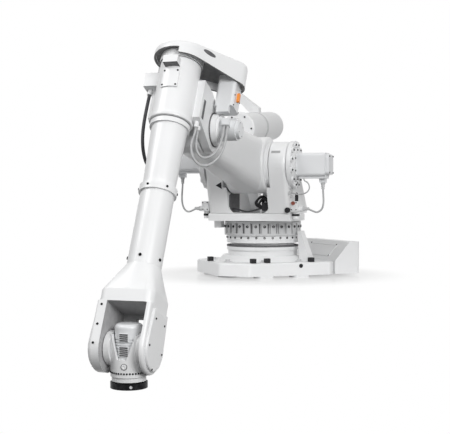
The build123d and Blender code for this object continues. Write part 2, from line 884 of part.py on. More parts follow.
# Tilting wrist housing: a cup with hubs at its sides and a notch that shows the motor
cup_radius = 96.0
cup_bore_radius = 77.0
cup_top = 78.0
cup_floor = -58.0
cup_low = -138.0
hub_disc_radius = 90.0
hub_disc_inner = 74.0
hub_disc_outer = 106.0
trunnion_end = 130.0
notch_top_half = 74.0
notch_bottom_half = 26.0
notch_low = -46.0


def make_wrist_housing():
    cup = post(cup_radius, cup_low, cup_top)
    cup += cross_drum(hub_disc_radius, -hub_disc_outer, -hub_disc_inner)
    cup += cross_drum(hub_disc_radius, hub_disc_inner, hub_disc_outer)
    cup += cross_drum(trunnion_radius, -trunnion_end, trunnion_end)
    cup -= post(cup_bore_radius, cup_floor, cup_top + cut_over)
    notch = make_face(Polyline(
        (-notch_top_half, cup_top + cut_over), (notch_top_half, cup_top + cut_over),
        (notch_bottom_half, notch_low), (-notch_bottom_half, notch_low), close=True))
    cup -= Rot(0, 0, 90) * side_plate(notch, -cup_radius - cut_over, 0)
    return on_wrist(cup)


# Finned motor in the cup
wrist_motor_radius = 73.0
wrist_motor_top = 132.0
wrist_motor_round = 22.0
fin_count = 7
fin_pitch = 15.0
fin_gap = 6.0
fin_depth = 6.0
fin_start = -40.0


def make_wrist_motor():
    low = cup_floor + seat_gap
    motor = post(wrist_motor_radius, low, wrist_motor_top)
    motor = fillet(motor.faces().sort_by(Axis.Z)[-1].edges(), wrist_motor_round)
    for index in range(fin_count):
        groove_low = fin_start + index * fin_pitch
        groove = post(wrist_motor_radius + cut_over, groove_low, groove_low + fin_gap)
        groove -= post(wrist_motor_radius - fin_depth, groove_low - cut_over, groove_low + cut_over)
        motor -= groove
    return on_wrist(motor)


# Gear ring under the cup and the turning disc that carries a tool
gear_ring_radius = 90.0
gear_ring_height = 24.0
disc_radius = 97.0
disc_spigot_radius = 40.0
disc_register_radius = 50.0
disc_register_depth = 8.0
tool_circle_radius = 80.0
tool_bolt_count = 6
tool_hole_radius = 5.5
gear_ring_low = cup_low - seat_gap - gear_ring_height
disc_top = gear_ring_low - run_gap


def make_wrist_gear_ring():
    ring = post(gear_ring_radius, gear_ring_low, cup_low - seat_gap)
    return on_wrist(ring - post(disc_spigot_radius + pin_gap, gear_ring_low - cut_over, cup_low + cut_over))


def make_turning_disc():
    disc = post(disc_radius, -flange_reach, disc_top)
    disc += post(disc_spigot_radius, disc_top, cup_low - 2 * seat_gap)
    disc -= post(disc_register_radius, -flange_reach - cut_over, -flange_reach + disc_register_depth)
    for x, y in bolt_places(tool_circle_radius, tool_bolt_count):
        disc -= Pos(x, y, 0) * post(tool_hole_radius, -flange_reach - cut_over, disc_top + cut_over)
    return on_wrist(disc)


# Cables and hoses: routes are straight runs joined by large tangent arcs
arc_share = 0.45
loop_diameter = 15.0
side_hose_diameter = 20.0
shoulder_cable_diameter = 13.0
rear_hose_diameter = 22.0
floor_hose_diameter = 12.0

# These three are drawn about the hanging forearm
elbow_cable_outer_route = [
    (-197.1, 272, -22.3), (-197.1, 273, -78), (-198, 272, -140), (-193, 262, -206), (-174, 238, -268),
    (-143, 206, -314), (-103, 172, -328), (-64, 147, -306), (-40, 135, -264), (-36, 131, -218),
    (-50, 131, -178), (-62, 132, -146), (-62, 132, -106.3)]
elbow_cable_inner_route = [
    (-197.1, 250, -22.3), (-197.1, 250, -74), (-198, 247, -128), (-194, 234, -182), (-180, 212, -228),
    (-156, 184, -256), (-128, 158, -258), (-106, 141, -232), (-98, 133, -190), (-98, 132, -148),
    (-98, 132, -106.4)]
side_hose_route = [
    (-20, -178, 95.6), (-20, -179, 26), (-22.7, -181, -43.6), (-32.2, -183, -115.3), (-53.6, -184, -184.3),
    (-92.8, -183, -244), (-152.4, -181, -284.6), (-221.1, -179, -289.2), (-267, -175, -253.4),
    (-280, -172.3, -195.3), (-280, -172.3, -140.3)]

# These four are drawn in the part's own frame
shoulder_cable_right_route = [
    (300, 535.6, 685.7), (300, 535.6, 638), (301, 539, 590), (302, 541, 542), (303, 531, 497),
    (304, 497, 472), (305, 464, 483), (306, 428, 500), (306, 390.6, 500)]
shoulder_cable_left_route = [
    (300, -535.6, 730.7), (300, -535.6, 681), (301, -539, 631), (302, -542, 581), (303, -538, 531),
    (304, -518, 487), (305, -485, 472), (306, -455, 485), (306, -424, 500), (306, -390.6, 500)]
turret_hose_rear_route = [
    (249.7, 120, 515), (210, 120, 515), (170, 117, 530), (132, 108, 560), (100, 92, 598),
    (78, 74, 634), (56, 62, 650), (20.3, 62, 650)]
turret_hose_floor_route = [
    (300, 94.4, 500), (300, 64, 500), (304, 26, 487), (302, -16, 478), (292, -60, 479),
    (284, -108, 497), (284, -150.4, 497)]


def arc_radii(points):
    """The largest arc that each corner of a route has room for."""
    places = [Vector(*point) for point in points]
    radii = []
    for before, corner, after in zip(places, places[1:], places[2:]):
        turn = (corner - before).get_angle(after - corner)
        short = min((corner - before).length, (after - corner).length)
        radii.append(arc_share * short / math.tan(math.radians(turn) / 2))
    return radii


def cable(points, diameter):
    """A round cable along a route."""
    radii = arc_radii(points)
    path = FilletPolyline(*points, radius=radii)
    section = Plane(origin=path @ 0, z_dir=path % 0) * Circle(diameter / 2)
    print("cable radii", [round(radius) for radius in radii], "length", round(path.length))
    return sweep(section, path=path)


def save(node, shape):
    """Write one node."""
    export_step(shape, f"parts/{node}.step")


def left(shape):
    """The same piece on the other side."""
    return mirror(shape, about=Plane.XZ)


def main():
    os.makedirs("parts", exist_ok=True)
    save("base_casting", make_base_casting())
    save("base_cable_box", make_base_cable_box())
    save("base_bracket", make_base_bracket())
    save("slew_ring", make_slew_ring())
    save("turret_floor", make_turret_floor())
    save("turret_stop", make_turret_stop())
    save("turret_cheek_right", make_turret_cheek())
    save("turret_cheek_left", left(make_turret_cheek()))
    save("shoulder_gearbox_right", make_shoulder_gearbox())
    save("shoulder_gearbox_left", left(make_shoulder_gearbox()))
    save("shoulder_motor_right", make_shoulder_motor(0))
    save("shoulder_motor_left", left(make_shoulder_motor(left_motor_lift)))
    save("turret_motor", make_turret_motor())
    save("balance_cylinder", make_balance_cylinder())
    save("balance_stand", make_balance_stand())
    save("hose_guide", make_hose_guide())
    save("junction_box_right", make_junction_box())
    save("junction_box_left", left(make_junction_box()))
    save("turret_manifold", make_turret_manifold())
    save("shoulder_cable_right", cable(shoulder_cable_right_route, shoulder_cable_diameter))
    save("shoulder_cable_left", cable(shoulder_cable_left_route, shoulder_cable_diameter))
    save("turret_hose_rear", cable(turret_hose_rear_route, rear_hose_diameter))
    save("turret_hose_floor", cable(turret_hose_floor_route, floor_hose_diameter))
    save("lower_arm", make_lower_arm())
    save("upper_arm_housing", make_upper_arm_housing())
    save("elbow_gearbox", make_elbow_gearbox())
    save("elbow_motor", make_elbow_motor())
    save("elbow_cover", make_elbow_cover())
    save("head_cap", make_head_cap())
    save("forearm_motor", make_forearm_motor())
    save("motor_lamp", make_motor_lamp())
    save("head_shelf", make_head_shelf())
    save("head_hatch", make_head_hatch())
    save("head_side_plate", make_head_side_plate())
    save("elbow_cable_outer", on_forearm(cable(elbow_cable_outer_route, loop_diameter)))
    save("elbow_cable_inner", on_forearm(cable(elbow_cable_inner_route, loop_diameter)))
    save("side_hose", on_forearm(cable(side_hose_route, side_hose_diameter)))
    save("forearm_upper_tube", make_forearm_upper_tube())
    save("forearm_lower_tube", make_forearm_lower_tube())
    save("wrist_fork", make_wrist_fork())
    save("wrist_cover_right", at_wrist(make_wrist_cover(fork_right)))
    save("wrist_cover_left", at_wrist(left(make_wrist_cover(fork_left))))
    save("wrist_housing", make_wrist_housing())
    save("wrist_motor", make_wrist_motor())
    save("wrist_gear_ring", make_wrist_gear_ring())
    save("turning_disc", make_turning_disc())


main()
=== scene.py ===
# %% [markdown]
# # A robot arm that stands on a shelf
# This lesson dresses a finished CAD model of a big factory robot arm. The CAD model is the frame:
# every casting, motor and hinge already has its size and its place. Here we give each casting a
# smooth painted skin, hang the cables, and add the screws, glands, plugs and seams that a
# visitor on the factory floor would see. The scene is in metres, in the same frame as the CAD model.

# %% Load the frame
import json
import math
import bpy
from mathutils import Matrix, Vector

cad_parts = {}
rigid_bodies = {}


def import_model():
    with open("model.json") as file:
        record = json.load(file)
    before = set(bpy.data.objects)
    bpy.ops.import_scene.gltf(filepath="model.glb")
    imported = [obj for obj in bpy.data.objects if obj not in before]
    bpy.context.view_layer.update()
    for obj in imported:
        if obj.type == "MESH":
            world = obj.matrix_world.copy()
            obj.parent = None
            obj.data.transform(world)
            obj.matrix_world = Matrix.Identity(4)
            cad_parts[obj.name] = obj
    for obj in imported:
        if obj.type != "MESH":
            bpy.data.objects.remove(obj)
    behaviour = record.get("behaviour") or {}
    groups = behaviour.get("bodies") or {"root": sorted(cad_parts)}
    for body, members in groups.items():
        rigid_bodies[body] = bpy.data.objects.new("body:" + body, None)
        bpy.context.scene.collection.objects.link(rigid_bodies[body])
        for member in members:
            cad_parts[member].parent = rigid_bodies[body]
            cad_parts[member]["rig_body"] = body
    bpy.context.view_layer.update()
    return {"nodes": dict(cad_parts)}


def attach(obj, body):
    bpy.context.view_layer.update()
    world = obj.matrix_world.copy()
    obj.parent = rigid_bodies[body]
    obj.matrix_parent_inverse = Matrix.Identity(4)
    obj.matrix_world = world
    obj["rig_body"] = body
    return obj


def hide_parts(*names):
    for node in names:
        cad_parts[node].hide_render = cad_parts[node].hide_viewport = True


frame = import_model()
nodes = frame["nodes"]

# %% [markdown]
# ## Where things are
# The arm is a chain of tilted pieces, so we keep one matrix for each stretch of it. A screw can
# then be written down in the plain drawing of its own casting, in millimetres, and the matrix
# carries it to its place. `FOREARM` is drawn hanging straight down from the top of the forearm, and
# `WRIST` stands upright about the wrist's tilt axis, because the wrist hangs plumb at rest. What is
# neither turned nor tilted at rest needs no matrix of its own and is drawn in `WHOLE`.

# %% Frames of the chain
MM = 0.001
base_heading, lower_arm_lift, forearm_tilt, balance_tilt = -50, 7.5, 25.7, 5.5
shoulder_x, shoulder_z = 300, 815
lower_arm_length, head_offset, forearm_length = 1280, 280, 1450
balance_front = (148, -145, 1096)


def turn_y(degrees):
    return Matrix.Rotation(math.radians(degrees), 4, "Y")


def turn_z(degrees):
    return Matrix.Rotation(math.radians(degrees), 4, "Z")


def shift(x, y, z):
    return Matrix.Translation((x, y, z))


WHOLE = Matrix.Identity(4)
BASE = turn_z(base_heading)
LOWER_ARM = shift(shoulder_x, 0, shoulder_z) @ turn_y(-lower_arm_lift)
ELBOW = LOWER_ARM @ shift(lower_arm_length, 0, 0) @ turn_y(lower_arm_lift - forearm_tilt)
FOREARM = ELBOW @ shift(head_offset, 0, 0)
FORK = FOREARM @ shift(0, 0, -forearm_length)
WRIST = FORK @ turn_y(forearm_tilt)
BALANCE = shift(*balance_front) @ turn_y(balance_tilt)
print("wrist axis at", [round(v) for v in WRIST.to_translation()])

# %% [markdown]
# ## Camera
# The picture was taken from in front of the arm, nearly level with the slewing ring, with a
# longish lens. We set the camera first, because everything that follows is judged through it.

# %% Camera
camera_data = bpy.data.cameras.new("camera")
camera_data.lens = 75.9
camera_data.sensor_width = 36
camera = bpy.data.objects.new("camera", camera_data)
bpy.context.scene.collection.objects.link(camera)
camera.location = (6.931, 2.038, 0.573)
view_line = Vector((-0.9472, -0.3199, -0.0194))
camera.rotation_euler = view_line.to_track_quat("-Z", "Y").to_euler()
bpy.context.scene.camera = camera
bpy.context.scene.view_settings.view_transform = "Standard"
print("camera at", tuple(camera.location))

# %% [markdown]
# ## Hands
# A few small helpers do what a hand does in Blender's window: put everything down, pick one
# object up, work on all of it or on a few chosen faces in edit mode, and set it in its place. A
# finished piece keeps its place in its mesh and its object at the origin, as the CAD nodes do.

# %% Picking up and putting down
smooth_angle = math.radians(32)


def put_down():
    if bpy.context.mode != "OBJECT":
        bpy.ops.object.mode_set(mode="OBJECT")
    bpy.ops.object.select_all(action="DESELECT")


def pick_up(thing):
    put_down()
    bpy.context.view_layer.objects.active = thing
    thing.select_set(True)


def edit_all(thing):
    pick_up(thing)
    bpy.ops.object.mode_set(mode="EDIT")
    bpy.ops.mesh.select_all(action="SELECT")


def leave_edit():
    bpy.ops.object.mode_set(mode="OBJECT")


def edit_chosen(thing, kind, wanted):
    """Go into edit mode with only the faces or points that pass a test selected, and count them."""
    pick_up(thing)
    bpy.ops.object.mode_set(mode="EDIT")
    bpy.ops.mesh.select_mode(type=kind)
    bpy.ops.mesh.select_all(action="DESELECT")
    leave_edit()
    parts = thing.data.polygons if kind == "FACE" else thing.data.vertices
    chosen = [part for part in parts if wanted(part)]
    for part in chosen:
        part.select = True
    bpy.ops.object.mode_set(mode="EDIT")
    return len(chosen)


def soften(thing):
    """Smooth shading that keeps real edges and leaves flat faces flat."""
    pick_up(thing)
    bpy.ops.object.shade_smooth_by_angle(angle=smooth_angle)
    even = thing.modifiers.new("even", "WEIGHTED_NORMAL")
    even.mode = "FACE_AREA_WITH_ANGLE"
    even.keep_sharp = True
    bpy.ops.object.modifier_apply(modifier=even.name)


def settle(thing, name, place, body, finish):
    """Name a piece drawn in millimetres, carry it to its place, paint it and give it its body."""
    put_down()
    thing.name = name
    thing.data.transform(Matrix.Scale(MM, 4) @ place @ thing.matrix_basis)
    thing.matrix_basis = Matrix.Identity(4)
    thing.data.materials.clear()
    thing.data.materials.append(finish)
    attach(thing, body)


print("helpers ready")

# %% [markdown]
# ## Paint and other finishes
# The arm is sprayed in a semi-gloss white over cast iron and aluminium. Seen close, such paint is
# never one flat colour: it is a little thicker in one place than another, it carries a trace of
# dust on faces that look up, and it has the fine ripple that painters call orange peel. All of it
# is made with noise on Object coordinates, so that it stays still when the arm moves.

# %% Node helpers


class Finish:
    """A material under construction: its node tree, its shader and its Object coordinates."""

    def __init__(self, name):
        self.material = bpy.data.materials.new(name)
        self.material.use_nodes = True
        self.tree = self.material.node_tree
        self.shader = self.tree.nodes["Principled BSDF"]
        self.place = self.tree.nodes.new("ShaderNodeTexCoord").outputs["Object"]

    def node(self, kind, **settings):
        made = self.tree.nodes.new(kind)
        for key, value in settings.items():
            setattr(made, key, value)
        return made

    def link(self, source, target):
        self.tree.links.new(source, target)

    def noise(self, scale, detail=3.0):
        grain = self.node("ShaderNodeTexNoise")
        grain.inputs["Scale"].default_value = scale
        grain.inputs["Detail"].default_value = detail
        self.link(self.place, grain.inputs["Vector"])
        return grain.outputs["Fac"]

    def spread(self, source, low, high, floor=0.3, ceiling=0.7):
        """Stretch what lies between floor and ceiling over low to high."""
        ranged = self.node("ShaderNodeMapRange")
        ranged.inputs["From Min"].default_value = floor
        ranged.inputs["From Max"].default_value = ceiling
        ranged.inputs["To Min"].default_value = low
        ranged.inputs["To Max"].default_value = high
        self.link(source, ranged.inputs["Value"])
        return ranged.outputs["Result"]

    def mixed(self, share, first, second):
        mix = self.node("ShaderNodeMix", data_type="RGBA")
        self.link(share, mix.inputs["Factor"])
        for value, socket in ((first, mix.inputs[6]), (second, mix.inputs[7])):
            if isinstance(value, tuple):
                socket.default_value = (*value, 1)
            else:
                self.link(value, socket)
        return mix.outputs[2]

    def colour(self, source):
        self.link(source, self.shader.inputs["Base Color"])

    def roughness(self, source):
        self.link(source, self.shader.inputs["Roughness"])

    def bump(self, height, depth, strength):
        bump = self.node("ShaderNodeBump")
        bump.inputs["Distance"].default_value = depth
        bump.inputs["Strength"].default_value = strength
        self.link(height, bump.inputs["Height"])
        self.link(bump.outputs["Normal"], self.shader.inputs["Normal"])

    def facing_up(self):
        """1 on faces that look up, where dust settles, and 0 elsewhere."""
        split = self.node("ShaderNodeSeparateXYZ")
        self.link(self.node("ShaderNodeNewGeometry").outputs["Normal"], split.inputs["Vector"])
        return self.spread(split.outputs["Z"], low=0, high=1, floor=0.55, ceiling=0.95)


def sprayed(name, thin, thick, dust, ripple):
    """Sprayed paint: two close tones, dust on top faces, orange peel and uneven gloss."""
    finish = Finish(name)
    clouds = finish.noise(scale=2.4)
    specks = finish.noise(scale=19.0, detail=6.0)
    sheen = finish.noise(scale=7.0, detail=5.0)
    peel = finish.noise(scale=310.0, detail=2.0)
    tone = finish.mixed(finish.spread(clouds, low=0, high=1), thin, thick)
    settled = finish.node("ShaderNodeMath", operation="MULTIPLY")
    finish.link(finish.facing_up(), settled.inputs[0])
    finish.link(finish.spread(specks, low=0, high=0.5, floor=0.45, ceiling=0.75), settled.inputs[1])
    finish.colour(finish.mixed(settled.outputs[0], tone, dust))
    finish.roughness(finish.spread(sheen, low=0.30, high=0.42))
    finish.bump(peel, depth=0.0005, strength=ripple)
    finish.shader.inputs["Coat Weight"].default_value = 0.2
    finish.shader.inputs["Coat Roughness"].default_value = 0.18
    finish.shader.inputs["IOR"].default_value = 1.5
    return finish.material


white_paint = sprayed("white_paint", thin=(0.80, 0.805, 0.81), thick=(0.85, 0.855, 0.86),
                      dust=(0.74, 0.735, 0.72), ripple=0.10)
motor_paint = sprayed("motor_paint", thin=(0.74, 0.75, 0.765), thick=(0.79, 0.80, 0.81),
                      dust=(0.70, 0.70, 0.69), ripple=0.06)
# ring_paint is the ring's own bare-cast grey, made darker still as painted shade under the turret; the other
# grey parts share this darker grey.
ring_paint = sprayed("ring_paint", thin=(0.54, 0.545, 0.55), thick=(0.61, 0.615, 0.62),
                     dust=(0.52, 0.52, 0.51), ripple=0.08)
print("paints:", white_paint.name, motor_paint.name, ring_paint.name)

# %% [markdown]
# Rubber, moulded plastic and blackened steel are the dark notes on the white arm. Each has its own
# grain: plastic has a fine spark texture, rubber a duller and coarser one, and blackened steel is a
# metal whose thin oxide is worn lighter here and there. At the end each finish is paired with the
# slot that it has in the part's record.

# %% Dark finishes and the lamp


def moulded(name, deep, pale, grain, rough, depth, shine=0.5):
    """Moulded plastic or rubber: two tones, uneven gloss and a fine grain; rough is a pair."""
    finish = Finish(name)
    finish.shader.inputs["Specular IOR Level"].default_value = shine
    clouds = finish.noise(scale=34.0, detail=5.0)
    sheen = finish.noise(scale=60.0, detail=4.0)
    finish.colour(finish.mixed(finish.spread(clouds, low=0, high=1), deep, pale))
    finish.roughness(finish.spread(sheen, *rough))
    finish.bump(finish.noise(grain, detail=2.0), depth, strength=0.35)
    return finish.material


def steel(name, deep, pale, rough):
    """Bare or blackened steel, worn paler in spots; rough is a pair."""
    finish = Finish(name)
    spots = finish.noise(scale=48.0, detail=6.0)
    sheen = finish.noise(scale=90.0, detail=3.0)
    worn = finish.spread(spots, low=0, high=1, floor=0.42, ceiling=0.72)
    finish.colour(finish.mixed(worn, deep, pale))
    finish.roughness(finish.spread(sheen, *rough))
    finish.bump(finish.noise(scale=700.0, detail=2.0), depth=0.0002, strength=0.3)
    finish.shader.inputs["Metallic"].default_value = 0.85
    return finish.material


dark_plastic = moulded("dark_plastic", deep=(0.012, 0.012, 0.014), pale=(0.03, 0.03, 0.033),
                       grain=1500.0, rough=(0.42, 0.6), depth=0.0003, shine=0.2)
shadow_paint = moulded("shadow_paint", deep=(0.10, 0.10, 0.105), pale=(0.15, 0.15, 0.155),
                       grain=600.0, rough=(0.5, 0.65), depth=0.0003, shine=0.2)
hose_rubber = moulded("hose_rubber", deep=(0.045, 0.045, 0.05), pale=(0.085, 0.085, 0.09),
                      grain=800.0, rough=(0.5, 0.7), depth=0.0004, shine=0.3)
cable_sheath = moulded("cable_sheath", deep=(0.42, 0.425, 0.43), pale=(0.53, 0.535, 0.54),
                       grain=900.0, rough=(0.34, 0.5), depth=0.0002)
lamp_lens = moulded("lamp_lens", deep=(0.80, 0.22, 0.02), pale=(0.93, 0.33, 0.04),
                    grain=120.0, rough=(0.14, 0.24), depth=0.0004)
black_steel = steel("black_steel", (0.006, 0.006, 0.007), (0.022, 0.022, 0.024), rough=(0.34, 0.52))
bright_steel = steel("bright_steel", (0.42, 0.42, 0.43), (0.58, 0.58, 0.59), rough=(0.22, 0.4))

WHITE = (white_paint, "white_paint")
MOTOR = (motor_paint, "motor_paint")
GREY = (ring_paint, "ring_paint")
BLACK = (black_steel, "black_finish")
BRIGHT = (bright_steel, "black_finish")
PLASTIC = (dark_plastic, "dark_plastic")
SHADE = (shadow_paint, "dark_plastic")
RUBBER = (hose_rubber, "hose_rubber")
SHEATH = (cable_sheath, "cable_sheath")
LENS = (lamp_lens, "lamp_lens")
print("dark finishes:", dark_plastic.name, hose_rubber.name, cable_sheath.name, black_steel.name)

# %% [markdown]
# ## Cables and hoses
# A cable is a fixed length of something flexible. Each one follows the route of its CAD tube as a
# NURBS curve with the route's points as control points, which rounds the corners as a real cable
# does. Both ends go into a gland.

# %% Cords
cord_rim_steps, cord_run_steps = 5, 10


def round_bar(name, route, diameter, rim_steps, run_steps):
    """A curve of round section that is drawn along the points of a route."""
    data = bpy.data.curves.new(name, "CURVE")
    data.dimensions = "3D"
    data.bevel_depth = diameter / 2
    data.bevel_resolution = rim_steps
    data.resolution_u = run_steps
    data.use_fill_caps = True
    line = data.splines.new("NURBS")
    line.points.add(len(route) - 1)
    for point, place in zip(line.points, route):
        point.co = (*place, 1)
    line.order_u = 3
    line.use_endpoint_u = True
    bar = bpy.data.objects.new(name, data)
    bpy.context.scene.collection.objects.link(bar)
    return bar


def cord(node, body, place, route, finish, slot, stiffness, lay, diameter, length):
    """Hang one cable along its route, which is in millimetres in its place's drawing."""
    route = [place @ Vector(point) * MM for point in route]
    piece = round_bar(node + "_line", route, diameter * MM, cord_rim_steps, cord_run_steps)
    piece.data.materials.append(finish)
    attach(piece, body)
    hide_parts(node)


elbow_outer = [
    (-197.1, 272, -22.3), (-197.1, 273, -78), (-198, 272, -140), (-193, 262, -206), (-174, 238, -268),
    (-143, 206, -314), (-103, 172, -328), (-64, 147, -306), (-40, 135, -264), (-36, 131, -218),
    (-50, 131, -178), (-62, 132, -146), (-62, 132, -106.3)]
elbow_inner = [
    (-197.1, 250, -22.3), (-197.1, 250, -74), (-198, 247, -128), (-194, 234, -182), (-180, 212, -228),
    (-156, 184, -256), (-128, 158, -258), (-106, 141, -232), (-98, 133, -190), (-98, 132, -148),
    (-98, 132, -106.4)]
side_hose = [
    (-20, -178, 95.6), (-20, -179, 26), (-22.7, -181, -43.6), (-32.2, -183, -115.3), (-53.6, -184, -184.3),
    (-92.8, -183, -244), (-152.4, -181, -284.6), (-221.1, -179, -289.2), (-267, -175, -253.4),
    (-280, -172.3, -195.3), (-280, -172.3, -140.3)]
shoulder_right = [
    (300, 535.6, 685.7), (300, 535.6, 638), (301, 539, 590), (302, 541, 542), (303, 531, 497),
    (304, 497, 472), (305, 464, 483), (306, 428, 500), (306, 390.6, 500)]
shoulder_left = [
    (300, -535.6, 730.7), (300, -535.6, 681), (301, -539, 631), (302, -542, 581), (303, -538, 531),
    (304, -518, 487), (305, -485, 472), (306, -455, 485), (306, -424, 500), (306, -390.6, 500)]
hose_rear = [
    (249.7, 120, 515), (210, 120, 515), (170, 117, 530), (132, 108, 560), (100, 92, 598),
    (78, 74, 634), (56, 62, 650), (20.3, 62, 650)]
hose_floor = [
    (300, 94.4, 500), (300, 64, 500), (304, 26, 487), (302, -16, 478), (292, -60, 479),
    (284, -108, 497), (284, -150.4, 497)]

cord("elbow_cable_outer", "upper_arm", FOREARM, elbow_outer, *SHEATH, "medium", "hanging",
     diameter=15, length=629)
cord("elbow_cable_inner", "upper_arm", FOREARM, elbow_inner, *SHEATH, "medium", "hanging",
     diameter=15, length=459)
cord("side_hose", "upper_arm", FOREARM, side_hose, *RUBBER, "stiff", "hanging",
     diameter=20, length=662)
cord("shoulder_cable_right", "turret", WHOLE, shoulder_right, *SHEATH, "medium", "hanging",
     diameter=13, length=339)
cord("shoulder_cable_left", "turret", WHOLE, shoulder_left, *SHEATH, "medium", "hanging",
     diameter=13, length=381)
cord("turret_hose_rear", "turret", WHOLE, hose_rear, *RUBBER, "stiff", "hanging",
     diameter=22, length=293)
cord("turret_hose_floor", "turret", WHOLE, hose_floor, *RUBBER, "medium", "loose",
     diameter=12, length=252)
print("cords hung: 7")

# %% [markdown]
# ## A painted skin for each casting
# The CAD solids have the right shape, but their meshes are loose triangles that catch the light
# facet by facet. We could leave them so, or model each casting again. It is better to copy each
# one, merge its points, clear the normals that came with the loose triangles, and shade it smooth
# with the flat faces kept flat. The copy then stands for the solid, which stays behind it for the
# simulation.

# %% Skins
merge_distance, flat_angle = 0.0001, math.radians(0.5)


def skin(node, finish, slot):
    """A smooth, painted copy of a CAD solid."""
    piece = bpy.data.objects.new(node + "_skin", nodes[node].data.copy())
    bpy.context.scene.collection.objects.link(piece)
    edit_all(piece)
    bpy.ops.mesh.remove_doubles(threshold=merge_distance)
    bpy.ops.mesh.dissolve_limited(angle_limit=flat_angle)
    leave_edit()
    bpy.ops.mesh.customdata_custom_splitnormals_clear()
    soften(piece)
    piece.data.materials.clear()
    piece.data.materials.append(finish)
    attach(piece, nodes[node]["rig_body"])
    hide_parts(node)
    return piece


white_nodes = [
    "base_casting", "base_cable_box", "base_bracket", "turret_floor", "turret_stop", "turret_cheek_right",
    "turret_cheek_left", "shoulder_gearbox_right", "shoulder_gearbox_left", "balance_cylinder",
    "balance_stand", "hose_guide", "junction_box_right", "junction_box_left", "lower_arm",
    "upper_arm_housing", "elbow_gearbox", "elbow_cover", "head_cap", "head_shelf", "head_hatch",
    "head_side_plate", "forearm_upper_tube", "forearm_lower_tube", "wrist_fork", "wrist_cover_right",
    "wrist_cover_left", "wrist_housing", "wrist_gear_ring"]
motor_nodes = ["shoulder_motor_right", "shoulder_motor_left", "turret_motor", "elbow_motor", "forearm_motor",
               "wrist_motor"]
skins = {node: skin(node, *WHITE) for node in white_nodes}
skins.update({node: skin(node, *MOTOR) for node in motor_nodes})
skins["slew_ring"] = skin("slew_ring", *GREY)
skins["turning_disc"] = skin("turning_disc", *BLACK)
skins["turret_manifold"] = skin("turret_manifold", *PLASTIC)
skins["motor_lamp"] = skin("motor_lamp", *LENS)
print("skins:", len(skins))

# %% [markdown]
# ## Painted shade inside
# The underside of the cap, the mouth of the fork and the underside of the small shelf lie in deep
# shade, and that shade is painted into them as a dark grey. We could model a lining, but the real
# surface is the same casting, so we pick its faces by place and normal and give them a second finish
# of painted shade.

# %% Painted shade on hidden faces
# Two greys of painted shade: a deep one for the undersides of the cap and shelf, a softer one for the mouth
# of the fork and the pin slots.
deep_shade_grey = moulded("deep_shade_grey", deep=(0.20, 0.20, 0.205), pale=(0.27, 0.27, 0.275),
                      grain=420.0, rough=(0.5, 0.66), depth=0.0003, shine=0.25)
soft_shade_grey = moulded("soft_shade_grey", deep=(0.40, 0.40, 0.405), pale=(0.48, 0.48, 0.485),
                       grain=420.0, rough=(0.5, 0.66), depth=0.0003, shine=0.25)
fork_mouth, fork_top = 114, 217


def looks_down(at, way):
    return way.z < -0.5


def inside_fork(at, way):
    """The roof of the fork's mouth, its two cheeks and the front of its web."""
    in_mouth = abs(at.y) < fork_mouth and abs(at.z) < fork_top
    return in_mouth and (way.z < -0.6 or abs(way.y) > 0.9 or (way.x > 0.9 and at.x < 0))


def paint_shade(node, place, finish, shaded):
    """Paint shade on a skin's shaded faces, found on its own drawing, as a second finish."""
    piece = skins[node]
    piece.data.materials.append(finish)
    piece.active_material_index = len(piece.data.materials) - 1
    to_drawing = place.inverted() @ Matrix.Scale(1 / MM, 4)
    turn = to_drawing.to_3x3().normalized()
    count = edit_chosen(piece, "FACE", lambda face: shaded(to_drawing @ face.center, turn @ face.normal))
    bpy.ops.object.material_slot_assign()
    leave_edit()
    print(node, "primed faces:", count)


# Painted shade on the faces that look down under the cap and the shelf, and inside the mouth of the fork.
paint_shade("head_cap", FOREARM, deep_shade_grey, looks_down)
paint_shade("head_shelf", FOREARM, deep_shade_grey, looks_down)
paint_shade("wrist_fork", FORK, soft_shade_grey, inside_fork)

# %% [markdown]
# ## Tools for small parts
# Screws, glands and plugs are turned from bar or milled from block. We could set a bare cylinder in
# each place, but it would look like one. So each part starts as a disc or a cube and is drawn out
# step by step, as on a lathe: extrude, resize, extrude again. A part that repeats is made once and
# copied to its spots, and the row is joined into one piece.

# %% Setting out
FACING = {
    "+Z": Matrix.Identity(4), "-Z": Matrix.Rotation(math.pi, 4, "X"),
    "+Y": Matrix.Rotation(-math.pi / 2, 4, "X"), "-Y": Matrix.Rotation(math.pi / 2, 4, "X"),
    "+X": Matrix.Rotation(math.pi / 2, 4, "Y"), "-X": Matrix.Rotation(-math.pi / 2, 4, "Y")}


def spot(x, y, z, facing="+Z"):
    """A place on a casting's drawing, with the way that the part there looks."""
    return shift(x, y, z) @ FACING[facing]


def round_spots(radius, count, z, first=0.0):
    """Places round an upright barrel, looking outwards."""
    return [turn_z(first + 360 / count * index) @ spot(radius, 0, z, "+X") for index in range(count)]


def circle_spots(middle, radius, count, first=0.0):
    """Places on a circle round a middle spot, looking the way it looks."""
    return [middle @ turn_z(first + 360 / count * index) @ shift(radius, 0, 0) for index in range(count)]


def corner_spots(middle, half_x, half_y):
    """The corners of a rectangle round a middle spot, looking the way it looks."""
    return [middle @ shift(x, y, 0) for x in (-half_x, half_x) for y in (-half_y, half_y)]


print("ways to look:", *FACING)

# %% Turning, boring and milling


def turned(profile, sides=24):
    """Turn a part about Z: each (radius, height) is one step of the tool."""
    (radius, height), *steps = profile
    put_down()
    bpy.ops.mesh.primitive_circle_add(vertices=sides, radius=radius, fill_type="NGON",
                                      location=(0, 0, height))
    thing = bpy.context.object
    bpy.ops.object.transform_apply(location=True, rotation=False, scale=False)
    edit_all(thing)
    for next_radius, next_height in steps:
        bpy.ops.mesh.extrude_region_move(TRANSFORM_OT_translate={"value": (0, 0, next_height - height)})
        share = next_radius / radius
        bpy.ops.transform.resize(value=(share, share, 1), center_override=(0, 0, next_height))
        radius, height = next_radius, next_height
    bpy.ops.mesh.select_all(action="SELECT")
    bpy.ops.mesh.fill_holes(sides=0)
    bpy.ops.mesh.normals_make_consistent(inside=False)
    leave_edit()
    return thing


